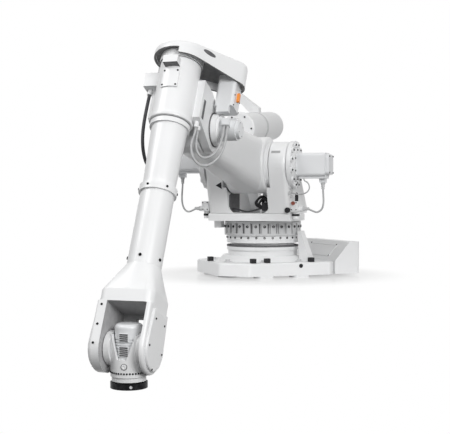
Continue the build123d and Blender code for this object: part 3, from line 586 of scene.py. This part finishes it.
def bored(thing, end_radius, bore_radius):
    """Bore a turned part right through: inset both ends, open them and bridge the two rims."""
    edit_chosen(thing, "FACE", lambda face: len(face.vertices) > 4)
    bpy.ops.mesh.inset(thickness=end_radius - bore_radius)
    bpy.ops.mesh.delete(type="FACE")
    bpy.ops.mesh.select_mode(type="EDGE")
    bpy.ops.mesh.select_non_manifold()
    bpy.ops.mesh.bridge_edge_loops()
    bpy.ops.mesh.select_all(action="SELECT")
    bpy.ops.mesh.normals_make_consistent(inside=False)
    leave_edit()
    return thing


def milled(x, y, z, low=0.0, edge=1.5):
    """Mill a block with broken edges, x by y and z high, that stands on low."""
    put_down()
    bpy.ops.mesh.primitive_cube_add(size=1, location=(0, 0, low + z / 2), scale=(x, y, z))
    thing = bpy.context.object
    bpy.ops.object.transform_apply(location=True, rotation=True, scale=True)
    edit_all(thing)
    bpy.ops.mesh.bevel(offset=edge, segments=2, affect="EDGES")
    leave_edit()
    return thing


print("lathe and mill ready")

# %% Copying and joining


def joined(things):
    put_down()
    for thing in things:
        thing.select_set(True)
    bpy.context.view_layer.objects.active = things[0]
    if len(things) > 1:
        bpy.ops.object.join()
    return things[0]


def gang(model, spots, name, place, body, finish, slot):
    """Copy a small part to its spots, join the row and settle it as one piece."""
    copies = []
    for where in spots:
        copy = bpy.data.objects.new(name, model.data.copy())
        copy.data.transform(where)
        bpy.context.scene.collection.objects.link(copy)
        copies.append(copy)
    bpy.data.objects.remove(model)
    row = joined(copies)
    soften(row)
    settle(row, name, place, body, finish)
    print(name, len(spots))


# %% [markdown]
# ## Screws
# Two kinds hold the arm together. A socket screw has a round head with a chamfered rim and a hole for
# a hexagon key. A foundation bolt has a six-sided head on a thick washer. Both are turned here, the
# bolt's head with only six sides, and every row below is copied from one of them. Their steps are
# shares of one size, so a bigger screw keeps the look of a smaller one.

# %% Socket screw and foundation bolt
screw_sides, washer_sides, head_sides = 12, 20, 6
washer_sink = 1


def socket_screw(size):
    rim, key, top = 0.8 * size, 0.42 * size, 0.58 * size
    return turned([(rim, -0.3 * size), (rim, 0.45 * size), (0.7 * size, top), (key, top),
                   (0.9 * key, 0.15 * size)], screw_sides)


def foundation_bolt(size):
    washer, head, seat = 1.35 * size, 0.95 * size, 0.2 * size
    return joined([
        turned([(washer, -washer_sink), (washer, seat), (1.25 * size, 0.28 * size)], washer_sides),
        turned([(head, seat), (head, 0.85 * size), (0.82 * size, 0.98 * size)], head_sides)])


base_top, bolt_circle, bolt_count, bolt_size = 110, 370, 8, 19
bolt_spots = circle_spots(spot(0, 0, base_top), bolt_circle, bolt_count, 180 / bolt_count)
gang(foundation_bolt(bolt_size), bolt_spots, "foundation_bolts", BASE, "base", *GREY)

# %% [markdown]
# ## Slewing ring
# The ring is bolted down through its lands and up through the collar under it. Both rows of screws
# are blackened and show as dark dots, one to each land. The shade in the slots between the lands is
# painted: each slot gets a dark strip, set back from the faces of the lands.

# %% Ring screws, painted shade band and slot shades
ring_radius, collar_radius, land_count, screw_sink = 290, 272, 28, 2
ring_screw, ring_row, collar_screw, collar_row = 12, 366, 10, 283
half_land = 180 / land_count
ring_spots = round_spots(ring_radius - screw_sink, land_count, ring_row, half_land)
collar_spots = round_spots(collar_radius - screw_sink, land_count, collar_row, half_land)
gang(socket_screw(ring_screw), ring_spots, "ring_screws", WHOLE, "base", *BLACK)
gang(socket_screw(collar_screw), collar_spots, "collar_screws", WHOLE, "base", *BLACK)

# A dark band of painted shade round the collar under the ring, where the groove lies in shadow.
shade_band_profile, shade_band_sides = [(262, 214), (273, 215), (273, 227), (262, 228)], 96
gang(turned(shade_band_profile, shade_band_sides), [spot(0, 0, 0)], "collar_shade_band", WHOLE, "base", *SHADE)

# A dark strip of painted shade in each slot between the lands.
slot_shade_height, slot_shade_width, slot_shade_thickness = 70, 8, 3
slot_shade_radius, slot_shade_row, slot_shade_turn = 277, 352, -1.0
slot_shade = milled(slot_shade_height, slot_shade_width, slot_shade_thickness, -slot_shade_thickness / 2)
slot_shade_spots = round_spots(slot_shade_radius, land_count, slot_shade_row, slot_shade_turn)
gang(slot_shade, slot_shade_spots, "slot_shades", WHOLE, "base", *SHADE)

# %% [markdown]
# ## Base plugs and the cable box
# Square rubber plugs close the lifting holes along the rim of the base, and a round one closes the
# drain hole in each side. The cable box has a screwed panel on its ramp. A panel is a milled plate
# with a sunk field: inset the top face, then push the new face in.

# %% Plugs and panels
field_draft = 0.4


def sunk_plate(x, y, z, border, depth):
    """A milled plate whose top is a sunk field inside a border."""
    plate = milled(x, y, z)
    edit_chosen(plate, "FACE", lambda face: face.normal.z > 0.99)
    bpy.ops.mesh.inset(thickness=border)
    bpy.ops.mesh.inset(thickness=field_draft, depth=-depth)
    leave_edit()
    return plate


rim_plug_size, rim_plug_places = (38, 36, 32), ((428, 10), (240, 378), (130, 378), (-222, 378))
rim_spots = [spot(x, y, base_top) for x, y in rim_plug_places]
gang(sunk_plate(*rim_plug_size, border=6, depth=3), rim_spots, "rim_plugs", BASE, "base", *PLASTIC)

ramp_x, ramp_z, ramp_tilt, ramp_panel_size = -490, 180, 49.4, (116, 430, 4)
ramp_screw, ramp_screw_x, ramp_screw_y, ramp_screw_z = 7, 53, 209, 3
ramp = shift(ramp_x, 0, ramp_z) @ turn_y(ramp_tilt)
ramp_spots = corner_spots(ramp @ shift(0, 0, ramp_screw_z), ramp_screw_x, ramp_screw_y)
gang(sunk_plate(*ramp_panel_size, border=9, depth=2.5), [ramp], "ramp_panel", BASE, "base", *WHITE)
gang(socket_screw(ramp_screw), ramp_spots, "ramp_screws", BASE, "base", *BLACK)

drain = [(15, -4), (15, 3), (12, 6), (7, 6), (6, 4)]
drain_x, base_side, drain_z = -129, 400, 84
drain_spots = [spot(drain_x, base_side, drain_z, "+Y"), spot(drain_x, -base_side, drain_z, "-Y")]
gang(turned(drain), drain_spots, "drain_plugs", BASE, "base", *PLASTIC)

# %% [markdown]
# ## Shoulder gearboxes and motors
# Each shoulder gearbox is held by twelve screws in its scalloped rim and eight more in its cover.
# The motor's end cap has one screw in each corner. Under the motor a square plug carries the cable,
# with a ribbed rubber boot that keeps it from kinking: a cone with steps, turned like the rest. The
# cable ends in a second boot on the junction box, whose lid is one more sunk plate.

# %% Shoulder screws, cable boots and lids
lobe_face, lobe_circle, lobe_count, lobe_screw = 348.3, 147.5, 12, 9
cover_face, cover_circle, cover_count, cover_screw = 360.3, 114, 8, 8
motor_face, motor_corner, motor_screw, left_motor_lift = 595.6, 58, 7, 45
plug_y, plug_z = 535.6, 686
gland_x, gland_y, gland_z = 306, 390.3, 500
lid_x, lid_y, lid_z = 354.3, 336.3, 519
lid_length, lid_width, lid_thickness = 58, 42, 5
lid_screw, lid_screw_x, lid_screw_y = 5, 25, 17
boot = [(17, -2), (17, 9), (14, 10), (14, 16), (12, 17), (12, 23), (13, 24), (13, 30), (10.5, 31),
        (10.5, 37), (11.5, 38), (11.5, 44), (8.5, 46)]
for hand, side, way, lift in (("right", 1, "+Y", 0), ("left", -1, "-Y", left_motor_lift)):
    lobes = spot(shoulder_x, side * lobe_face, shoulder_z, way)
    cover = spot(shoulder_x, side * cover_face, shoulder_z, way)
    motor_end = spot(shoulder_x, side * motor_face, shoulder_z + lift, way)
    lid = spot(lid_x, side * lid_y, lid_z, "+X")
    lobe_spots = circle_spots(lobes, lobe_circle, lobe_count, 180 / lobe_count)
    cover_spots = circle_spots(cover, cover_circle, cover_count, 180 / cover_count)
    motor_spots = corner_spots(motor_end, motor_corner, motor_corner)
    boot_spots = [spot(shoulder_x, side * plug_y, plug_z + lift, "-Z"),
                  spot(gland_x, side * gland_y, gland_z, way)]
    lid_spots = corner_spots(lid @ shift(0, 0, lid_thickness), lid_screw_x, lid_screw_y)
    lid_plate = sunk_plate(lid_length, lid_width, lid_thickness, border=7, depth=1.5)
    gang(socket_screw(lobe_screw), lobe_spots, "gearbox_screws_" + hand, WHOLE, "turret", *BLACK)
    gang(socket_screw(cover_screw), cover_spots, "cover_screws_" + hand, WHOLE, "turret", *BLACK)
    gang(socket_screw(motor_screw), motor_spots, "motor_screws_" + hand, WHOLE, "turret", *BLACK)
    gang(turned(boot), boot_spots, "cable_boots_" + hand, WHOLE, "turret", *GREY)
    gang(lid_plate, [lid], "junction_lid_" + hand, WHOLE, "turret", *WHITE)
    gang(socket_screw(lid_screw), lid_spots, "lid_screws_" + hand, WHOLE, "turret", *BLACK)

# %% [markdown]
# ## Openings in the cheeks
# The cheeks are cast with small openings: a slot at the top of each, where the arm's stop is pinned,
# and a three-sided one in the left. They are only seen as dark shapes, so for each an inlay with its
# face just proud of the paint carries the shade in the opening as painted shade. The inner face of the
# left cheek lies in shade, so a dark sheet of painted shade is laid on it, with its rear corner drawn
# up behind the hub of the arm.

# %% Shade inlays and shade sheet
slot_x, slot_y, slot_z, slot_tilt, slot_sink = 442, 226, 903, 58, 6
slot_size = (20, 66, 9)
# The pin slots: sunk plates in a grey of painted shade.
for hand, side in (("right", 1), ("left", -1)):
    slot_spot = shift(slot_x, side * slot_y, slot_z) @ turn_y(slot_tilt) @ shift(0, 0, -slot_sink)
    gang(sunk_plate(*slot_size, border=4, depth=2), [slot_spot], "pin_slot_shade_" + hand, WHOLE, "turret",
         soft_shade_grey, "white_paint")

# The three-sided opening: a dark inlay of painted shade.
opening, opening_sides = [(30, -5), (30, 1), (27, 2)], 3
opening_x, opening_y, opening_z, opening_tilt, opening_turn = 428, -200, 668, 108.5, 60
opening_spot = shift(opening_x, opening_y, opening_z) @ turn_y(opening_tilt) @ turn_z(opening_turn)
gang(turned(opening, opening_sides), [opening_spot], "cheek_opening_shade", WHOLE, "turret", *PLASTIC)

# A dark sheet of painted shade on the shaded inner face of the left cheek.
sheet_length, sheet_height, sheet_thickness, sheet_sink, sheet_drop = 250, 124, 1.4, 0.4, 96
sheet_x, sheet_face, sheet_z = 231, -151, 534
shade_sheet = milled(sheet_length, sheet_height, sheet_thickness, -sheet_sink, edge=sheet_sink)
edit_chosen(shade_sheet, "VERT", lambda point: point.co.x < 0 and point.co.y < 0)
bpy.ops.transform.translate(value=(0, -sheet_drop, 0))
leave_edit()
gang(shade_sheet, [spot(sheet_x, sheet_face, sheet_z, "+Y")], "cheek_shade_sheet", WHOLE, "turret", *SHADE)

# %% [markdown]
# ## Pipes and fittings at the shoulder
# Black pipe bends join the ports of the manifold in the turret's window, one more stands on the right
# junction box, and a thin grey brake line runs down from the right motor. They are rigid, so each is a
# bent bar: a curve with a round section, made a mesh. Beside them sit a few turned fittings, the dark
# rings round the glands, a red filler cap and a black knob.

# %% Pipe bends
pipe_rim_steps, pipe_run_steps = 4, 8


def pipe_bend(name, route, diameter, finish, slot):
    """Bend a round bar along its route and settle it on the turret as a mesh."""
    bend = round_bar(name, route, diameter, pipe_rim_steps, pipe_run_steps)
    pick_up(bend)
    bpy.ops.object.convert(target="MESH")
    bend = bpy.context.object
    soften(bend)
    settle(bend, name, WHOLE, "turret", finish)


pipe_diameter, port_top, tail_y, tail_z = 17, 542, 98, 505
port_sink, tail_sink, crown_fall, crown_rise = 10, 20, 24, 22
crown_lean, fall_lean, tail_lean, tail_swing, tail_run = 4, 8, 10, 6, 40
pipes = [(322, 140, 64, 562), (308, 132, 40, 578), (280, 138, 24, 574), (260, 120, 70, 562)]
for index, (x, near, far, crown) in enumerate(pipes):
    arch = [
        (x, near, port_top - port_sink), (x, near, crown - crown_fall),
        (x - crown_lean, (near + far) / 2, crown + crown_rise), (x - fall_lean, far, crown - crown_fall),
        (x - tail_lean, far + tail_swing, port_top - tail_sink), (x - tail_lean, far + tail_run, tail_z),
        (x - tail_lean, tail_y, tail_z)]
    pipe_bend("pipe_bend_%d" % (index + 1), arch, pipe_diameter, *PLASTIC)

hook_diameter, brake_diameter = 15, 9
hook = [(332, 345, 550), (332, 345, 590), (318, 345, 612), (296, 345, 606), (288, 345, 582), (292, 345, 550)]
brake_line = [(345, 405, 724), (345, 405, 700), (345, 436, 690), (345, 452, 650), (345, 428, 612),
              (345, 370, 600), (345, 330, 612), (345, 304, 612)]
pipe_bend("junction_hook", hook, hook_diameter, *PLASTIC)
pipe_bend("brake_line", brake_line, brake_diameter, *SHEATH)
print("pipe bends:", len(pipes) + 2)

# %% Fittings
filler_red = moulded("filler_red", deep=(0.20, 0.05, 0.03), pale=(0.30, 0.08, 0.05),
                     grain=700.0, rough=(0.35, 0.5), depth=0.0003)
filler, filler_sides = [(14, -2), (14, 9), (12, 13), (6, 13), (5, 10)], 18
filler_spot = spot(358, 332, 540, "+X")
gang(turned(filler, filler_sides), [filler_spot], "filler_cap", WHOLE, "turret", filler_red, "dark_plastic")

knob = [(12, -30), (12, 4), (19, 6), (20, 10), (20, 24), (17, 29), (8, 29), (7, 26)]
knob_sides, knob_spot = 20, spot(352, 292, 490, "+X")
gang(turned(knob, knob_sides), [knob_spot], "drain_knob", WHOLE, "turret", *PLASTIC)

gland, gland_sides = [(22, 446), (27, 448), (27, 462), (22, 464)], 28
gland_ring_y = 338.3
gland_spots = [shift(gland_x, side * gland_ring_y, 0) for side in (1, -1)]
gang(turned(gland, gland_sides), gland_spots, "gland_rings", WHOLE, "turret", *PLASTIC)

fitting_size, cheek_face = 11, 308
fitting_spots = [spot(x, cheek_face, z, "+Y") for x, z in ((360, 650), (330, 626), (382, 612), (344, 590))]
gang(foundation_bolt(fitting_size), fitting_spots, "cheek_fittings", WHOLE, "turret", *GREY)

# %% [markdown]
# ## Elbow and head
# The head ends in a lip below, where the forearm turns against it. Four screws hold the hatch and each
# of the two motors. A dark ring of painted shade marks the gap round the elbow, and a dark inlay of
# painted shade marks the slot in the ear that lets the loops of cable through. The oval recess in the
# side of the cap is a flattened dark disc of painted shade: its spot squeezes it.

# %% Lip, painted shade in the recess, ear slot and elbow gap, and screws
lip_end, lip_bore, lip_sides = 119, 117.5, 72
lip = [(lip_end, -119.5), (125, -118), (128, -113), (128, -101), (125, -96), (lip_end, -94)]
head_lip = bored(turned(lip, lip_sides), lip_end, lip_bore)
gang(head_lip, [spot(0, 0, 0)], "head_lip", FOREARM, "upper_arm", *WHITE)

# The cap's recess: a squeezed dark disc of painted shade.
recess, recess_sides = [(46, -4), (46, 1), (43, 2)], 40
recess_turn, recess_squeeze = 58.7, Matrix.Diagonal((0.3, 1, 1, 1))
recess_spot = turn_z(recess_turn) @ spot(168.2, 68, 336, "+X") @ recess_squeeze
gang(turned(recess, recess_sides), [recess_spot], "cap_recess_shade", FOREARM, "upper_arm", *SHADE)

hatch_turn, hatch_radius, hatch_rows, hatch_screw = 18, 128.5, (74, 168), 7
hatch_spots = [turn_z(turn) @ spot(hatch_radius, 0, z, "+X")
               for turn in (-hatch_turn, hatch_turn) for z in hatch_rows]
gang(socket_screw(hatch_screw), hatch_spots, "hatch_screws", FOREARM, "upper_arm", *BLACK)

# The ear's slot: a sunk plate of painted shade.
ear_slot_size, ear_spot = (24, 122, 4), spot(-64, 159.5, 14, "+Y")
gang(sunk_plate(*ear_slot_size, border=4, depth=2), [ear_spot], "ear_slot_shade", FOREARM, "upper_arm", *SHADE)

# The gap round the elbow: a dark ring of painted shade.
elbow_shade_ring, elbow_shade_ring_sides, elbow_face = [(97, -1), (103, 0), (103, 6), (97, 7)], 64, 160
shade_ring_spot = spot(-head_offset, elbow_face, 0, "+Y")
gang(turned(elbow_shade_ring, elbow_shade_ring_sides), [shade_ring_spot], "elbow_shade_ring", FOREARM, "upper_arm", *SHADE)

elbow_motor_end, elbow_screw, elbow_circle, elbow_count = spot(-head_offset, 326.6, 0, "+Y"), 6, 42, 4
elbow_spots = circle_spots(elbow_motor_end, elbow_circle, elbow_count, 180 / elbow_count)
gang(socket_screw(elbow_screw), elbow_spots, "elbow_motor_screws", FOREARM, "upper_arm", *GREY)

case_face, case_screw, case_screw_x, case_screw_y = spot(-235, 291.3, 150, "+Y"), 5, 48, 34
case_spots = corner_spots(case_face, case_screw_x, case_screw_y)
gang(socket_screw(case_screw), case_spots, "forearm_motor_screws", FOREARM, "upper_arm", *BLACK)

# %% [markdown]
# ## Balance drum
# The drum's front plate is held by a circle of screws, and a steel band ties it to its stand.

# %% Drum screws and strap
drum_screw, drum_circle, drum_count = 8, 100, 6
drum_spots = circle_spots(spot(0, 0, 0, "+X"), drum_circle, drum_count, 180 / drum_count)
gang(socket_screw(drum_screw), drum_spots, "drum_screws", BALANCE, "turret", *BLACK)

strap, strap_sides, strap_x = [(112, -17), (121.5, -16), (121.5, 16), (112, 17)], 64, -390
gang(turned(strap, strap_sides), [spot(strap_x, 0, 0, "+X")], "drum_strap", BALANCE, "turret", *GREY)

# %% [markdown]
# ## Forearm and fork
# The forearm's two tubes meet in a bolted flange. Lower down a ring of screws holds the bearing in
# the tube, and the fork's left cheek and both covers have their own screws along the edge.

# %% Forearm and fork screws
joint_screw, joint_spots = 9, round_spots(radius=106, count=6, z=-548, first=-11)
tube_screw, tube_spots = 11, round_spots(radius=94, count=5, z=-962, first=5)
gang(socket_screw(joint_screw), joint_spots, "joint_screws", FOREARM, "forearm", *BLACK)
gang(socket_screw(tube_screw), tube_spots, "tube_screws", FOREARM, "forearm", *BLACK)

fork_screw, fork_front = 8, 130
fork_spots = [spot(fork_front, y, z, "+X") for y, z in ((-138, 192), (-140, 85), (-144, -16))]
gang(socket_screw(fork_screw), fork_spots, "left_cheek_screws", FORK, "forearm", *BLACK)

fork_cover_screw = 7
fork_cover_places = ((62, 148), (-62, 148), (88, 0), (-88, 0), (5, -105))
for hand, face, way in (("right", 148.8, "+Y"), ("left", -182.8, "-Y")):
    fork_cover_spots = [spot(x, face, z, way) for x, z in fork_cover_places]
    gang(socket_screw(fork_cover_screw), fork_cover_spots, hand + "_cover_screws", FORK, "forearm", *BLACK)

# %% [markdown]
# ## Wrist
# The motor in the cup has two louvred covers: plates with a row of slots, whose shade is painted as
# dark strips on the plate. A ring of small screws runs round the cup's foot, above the black disc, and
# a round plug closes the oil hole in front, in a dark ring of painted shade. One bright pin in the
# disc's rim marks its zero.

# %% Louvres, foot screws, oil plug and zero mark
louvre_x, louvre_y, louvre_width, louvre_thickness = 70.5, 4, 56, 5
slit_pitch, slit_margin, slit_lift, slit_size = 10, 4, 4, (6.2, 46, 2.4)
# The dark strips on each louvre plate are painted shade for its slots.
for name, middle, count in (("upper", 66, 4), ("lower", -6, 5)):
    plate = spot(louvre_x, louvre_y, middle, "+X")
    slit_shades = [plate @ shift((index - (count - 1) / 2) * slit_pitch, 0, slit_lift) for index in range(count)]
    louvre = milled(slit_pitch * count + slit_margin, louvre_width, louvre_thickness)
    gang(louvre, [plate], "louvre_" + name, WRIST, "wrist", *MOTOR)
    gang(milled(*slit_size, edge=0.6), slit_shades, "louvre_slot_shades_" + name, WRIST, "wrist", *PLASTIC)

foot_screw, foot_screw_sides = [(5.2, -2), (5.2, 2.5), (4.2, 3.5)], 8
foot_spots = round_spots(radius=95.5, count=40, z=-116)
gang(turned(foot_screw, foot_screw_sides), foot_spots, "foot_screws", WRIST, "wrist", *BLACK)

# A dark ring of painted shade round the oil plug, where its gap lies in shadow.
oil_shade_ring = [(17, -3), (17, 2.5), (15, 3.5)]
oil_plug = [(13.5, -3), (13.5, 5), (12, 6.5), (5, 6.5), (4.5, 4)]
oil_turn, oil_hole = 9, spot(95, 0, -80, "+X")
gang(turned(oil_shade_ring), [turn_z(oil_turn) @ oil_hole], "oil_plug_shade_ring", WRIST, "wrist", *SHADE)
gang(turned(oil_plug), [turn_z(oil_turn) @ oil_hole], "oil_plug", WRIST, "wrist", *WHITE)

mark, mark_sides, mark_turn = [(8, -3), (8, 1.5), (6.5, 3)], 16, 30
mark_spot = turn_z(mark_turn) @ spot(96.5, 0, -184, "+X")
gang(turned(mark, mark_sides), [mark_spot], "disc_mark", WRIST, "tool_flange", *BRIGHT)

# %% [markdown]
# ## Floor
# The arm stands on a shelf, so its wrist hangs below the plane of its base. The floor is a round
# pale shelf that ends short of the hanging wrist. To the camera it is nearly as white as the
# background, and whiter towards its rim, but near the middle it still takes the base's soft shadow
# and a faint mirror image.

# %% Shelf
shelf_radius, shelf_thickness, shelf_sides = 1.2, 0.03, 128
fade_start, fade_end, glow_near, glow_far = 0.6, 1.15, 0.45, 1.0
pale, pale_in_bounce = (0.86, 0.86, 0.86), (0.40, 0.40, 0.40)


def seen_directly(tree):
    """1 for what the camera sees, straight, mirrored or through glass, and 0 for bounced light."""
    light_path = tree.nodes.new("ShaderNodeLightPath")
    share = light_path.outputs["Is Camera Ray"]
    for ray in ("Is Glossy Ray", "Is Transmission Ray"):
        either = tree.nodes.new("ShaderNodeMath")
        either.operation = "MAXIMUM"
        tree.links.new(share, either.inputs[0])
        tree.links.new(light_path.outputs[ray], either.inputs[1])
        share = either.outputs[0]
    return share


shelf_white = Finish("shelf_white")
shelf_white.tree.nodes.remove(shelf_white.shader)
matt = shelf_white.node("ShaderNodeBsdfDiffuse")
bounced = shelf_white.node("ShaderNodeLightPath").outputs["Is Diffuse Ray"]
shelf_white.link(shelf_white.mixed(bounced, pale, pale_in_bounce), matt.inputs["Color"])
gloss = shelf_white.node("ShaderNodeBsdfGlossy")
gloss.inputs["Roughness"].default_value = 0.12
glow = shelf_white.node("ShaderNodeEmission")
glow.inputs["Color"].default_value = (1, 1, 1, 1)
glow.inputs["Strength"].default_value = 1.0
print("shelf shaders:", matt.name, gloss.name, glow.name)

# %% Shelf finish and its disc
from_middle = shelf_white.node("ShaderNodeVectorMath", operation="LENGTH")
shelf_white.link(shelf_white.place, from_middle.inputs[0])
fade = shelf_white.spread(from_middle.outputs["Value"], glow_near, glow_far, fade_start, fade_end)
fade.node.interpolation_type = "SMOOTHSTEP"
share = shelf_white.node("ShaderNodeMath", operation="MULTIPLY")
shelf_white.link(seen_directly(shelf_white.tree), share.inputs[0])
shelf_white.link(fade, share.inputs[1])
shine = shelf_white.node("ShaderNodeMixShader")
shine.inputs["Fac"].default_value = 0.60
shelf_white.link(matt.outputs[0], shine.inputs[1])
shelf_white.link(gloss.outputs[0], shine.inputs[2])
blend = shelf_white.node("ShaderNodeMixShader")
shelf_white.link(share.outputs[0], blend.inputs["Fac"])
shelf_white.link(shine.outputs[0], blend.inputs[1])
shelf_white.link(glow.outputs[0], blend.inputs[2])
shelf_white.link(blend.outputs[0], shelf_white.tree.nodes["Material Output"].inputs["Surface"])

put_down()
bpy.ops.mesh.primitive_cylinder_add(vertices=shelf_sides, radius=shelf_radius, depth=shelf_thickness,
                                    location=(0, 0, -shelf_thickness / 2))
shelf = bpy.context.object
shelf.name = "shelf"
shelf.data.materials.append(shelf_white.material)
print("shelf radius", shelf_radius)

# %% [markdown]
# ## Light
# The background is white to the camera, but as a lamp the world is only a soft fill, stronger from
# above than from below. The key lamp stands in front on the right, a second one high on the left
# brightens the shaded sides, and a weak one over the camera fills the front. All three
# are wide discs, so their shadows have soft edges.

# %% World
world = bpy.data.worlds.new("studio")
bpy.context.scene.world = world
world.use_nodes = True
tree = world.node_tree
tree.nodes.clear()
output = tree.nodes.new("ShaderNodeOutputWorld")
direction = tree.nodes.new("ShaderNodeTexCoord")
split = tree.nodes.new("ShaderNodeSeparateXYZ")
rise = tree.nodes.new("ShaderNodeMapRange")
for key, value in (("From Min", -0.5), ("From Max", 0.6), ("To Min", 0.04), ("To Max", 0.50)):
    rise.inputs[key].default_value = value
fill = tree.nodes.new("ShaderNodeBackground")
white = tree.nodes.new("ShaderNodeBackground")
white.inputs["Color"].default_value = (1, 1, 1, 1)
white.inputs["Strength"].default_value = 1.0
blend = tree.nodes.new("ShaderNodeMixShader")
tree.links.new(direction.outputs["Generated"], split.inputs["Vector"])
tree.links.new(split.outputs["Z"], rise.inputs["Value"])
tree.links.new(rise.outputs["Result"], fill.inputs["Strength"])
tree.links.new(seen_directly(tree), blend.inputs["Fac"])
tree.links.new(fill.outputs[0], blend.inputs[1])
tree.links.new(white.outputs[0], blend.inputs[2])
tree.links.new(blend.outputs[0], output.inputs["Surface"])
print("world:", world.name)

# %% Lamps
lamp_size, lamp_target = 3.0, Vector((1.0, 0.0, 0.5))


def lamp(name, place, power):
    """A wide disc lamp that looks at the middle of the arm."""
    data = bpy.data.lights.new(name, "AREA")
    data.shape = "DISK"
    data.size = lamp_size
    data.energy = power
    made = bpy.data.objects.new(name, data)
    bpy.context.scene.collection.objects.link(made)
    made.location = place
    made.rotation_euler = (lamp_target - Vector(place)).to_track_quat("-Z", "Y").to_euler()
    print("lamp", name, power, "W")


lamp("key", place=(6.0, 5.0, 3.0), power=270)
lamp("left", place=(4.2, -4.0, 5.0), power=145)
lamp("front", place=(6.8, 1.6, 3.4), power=60)
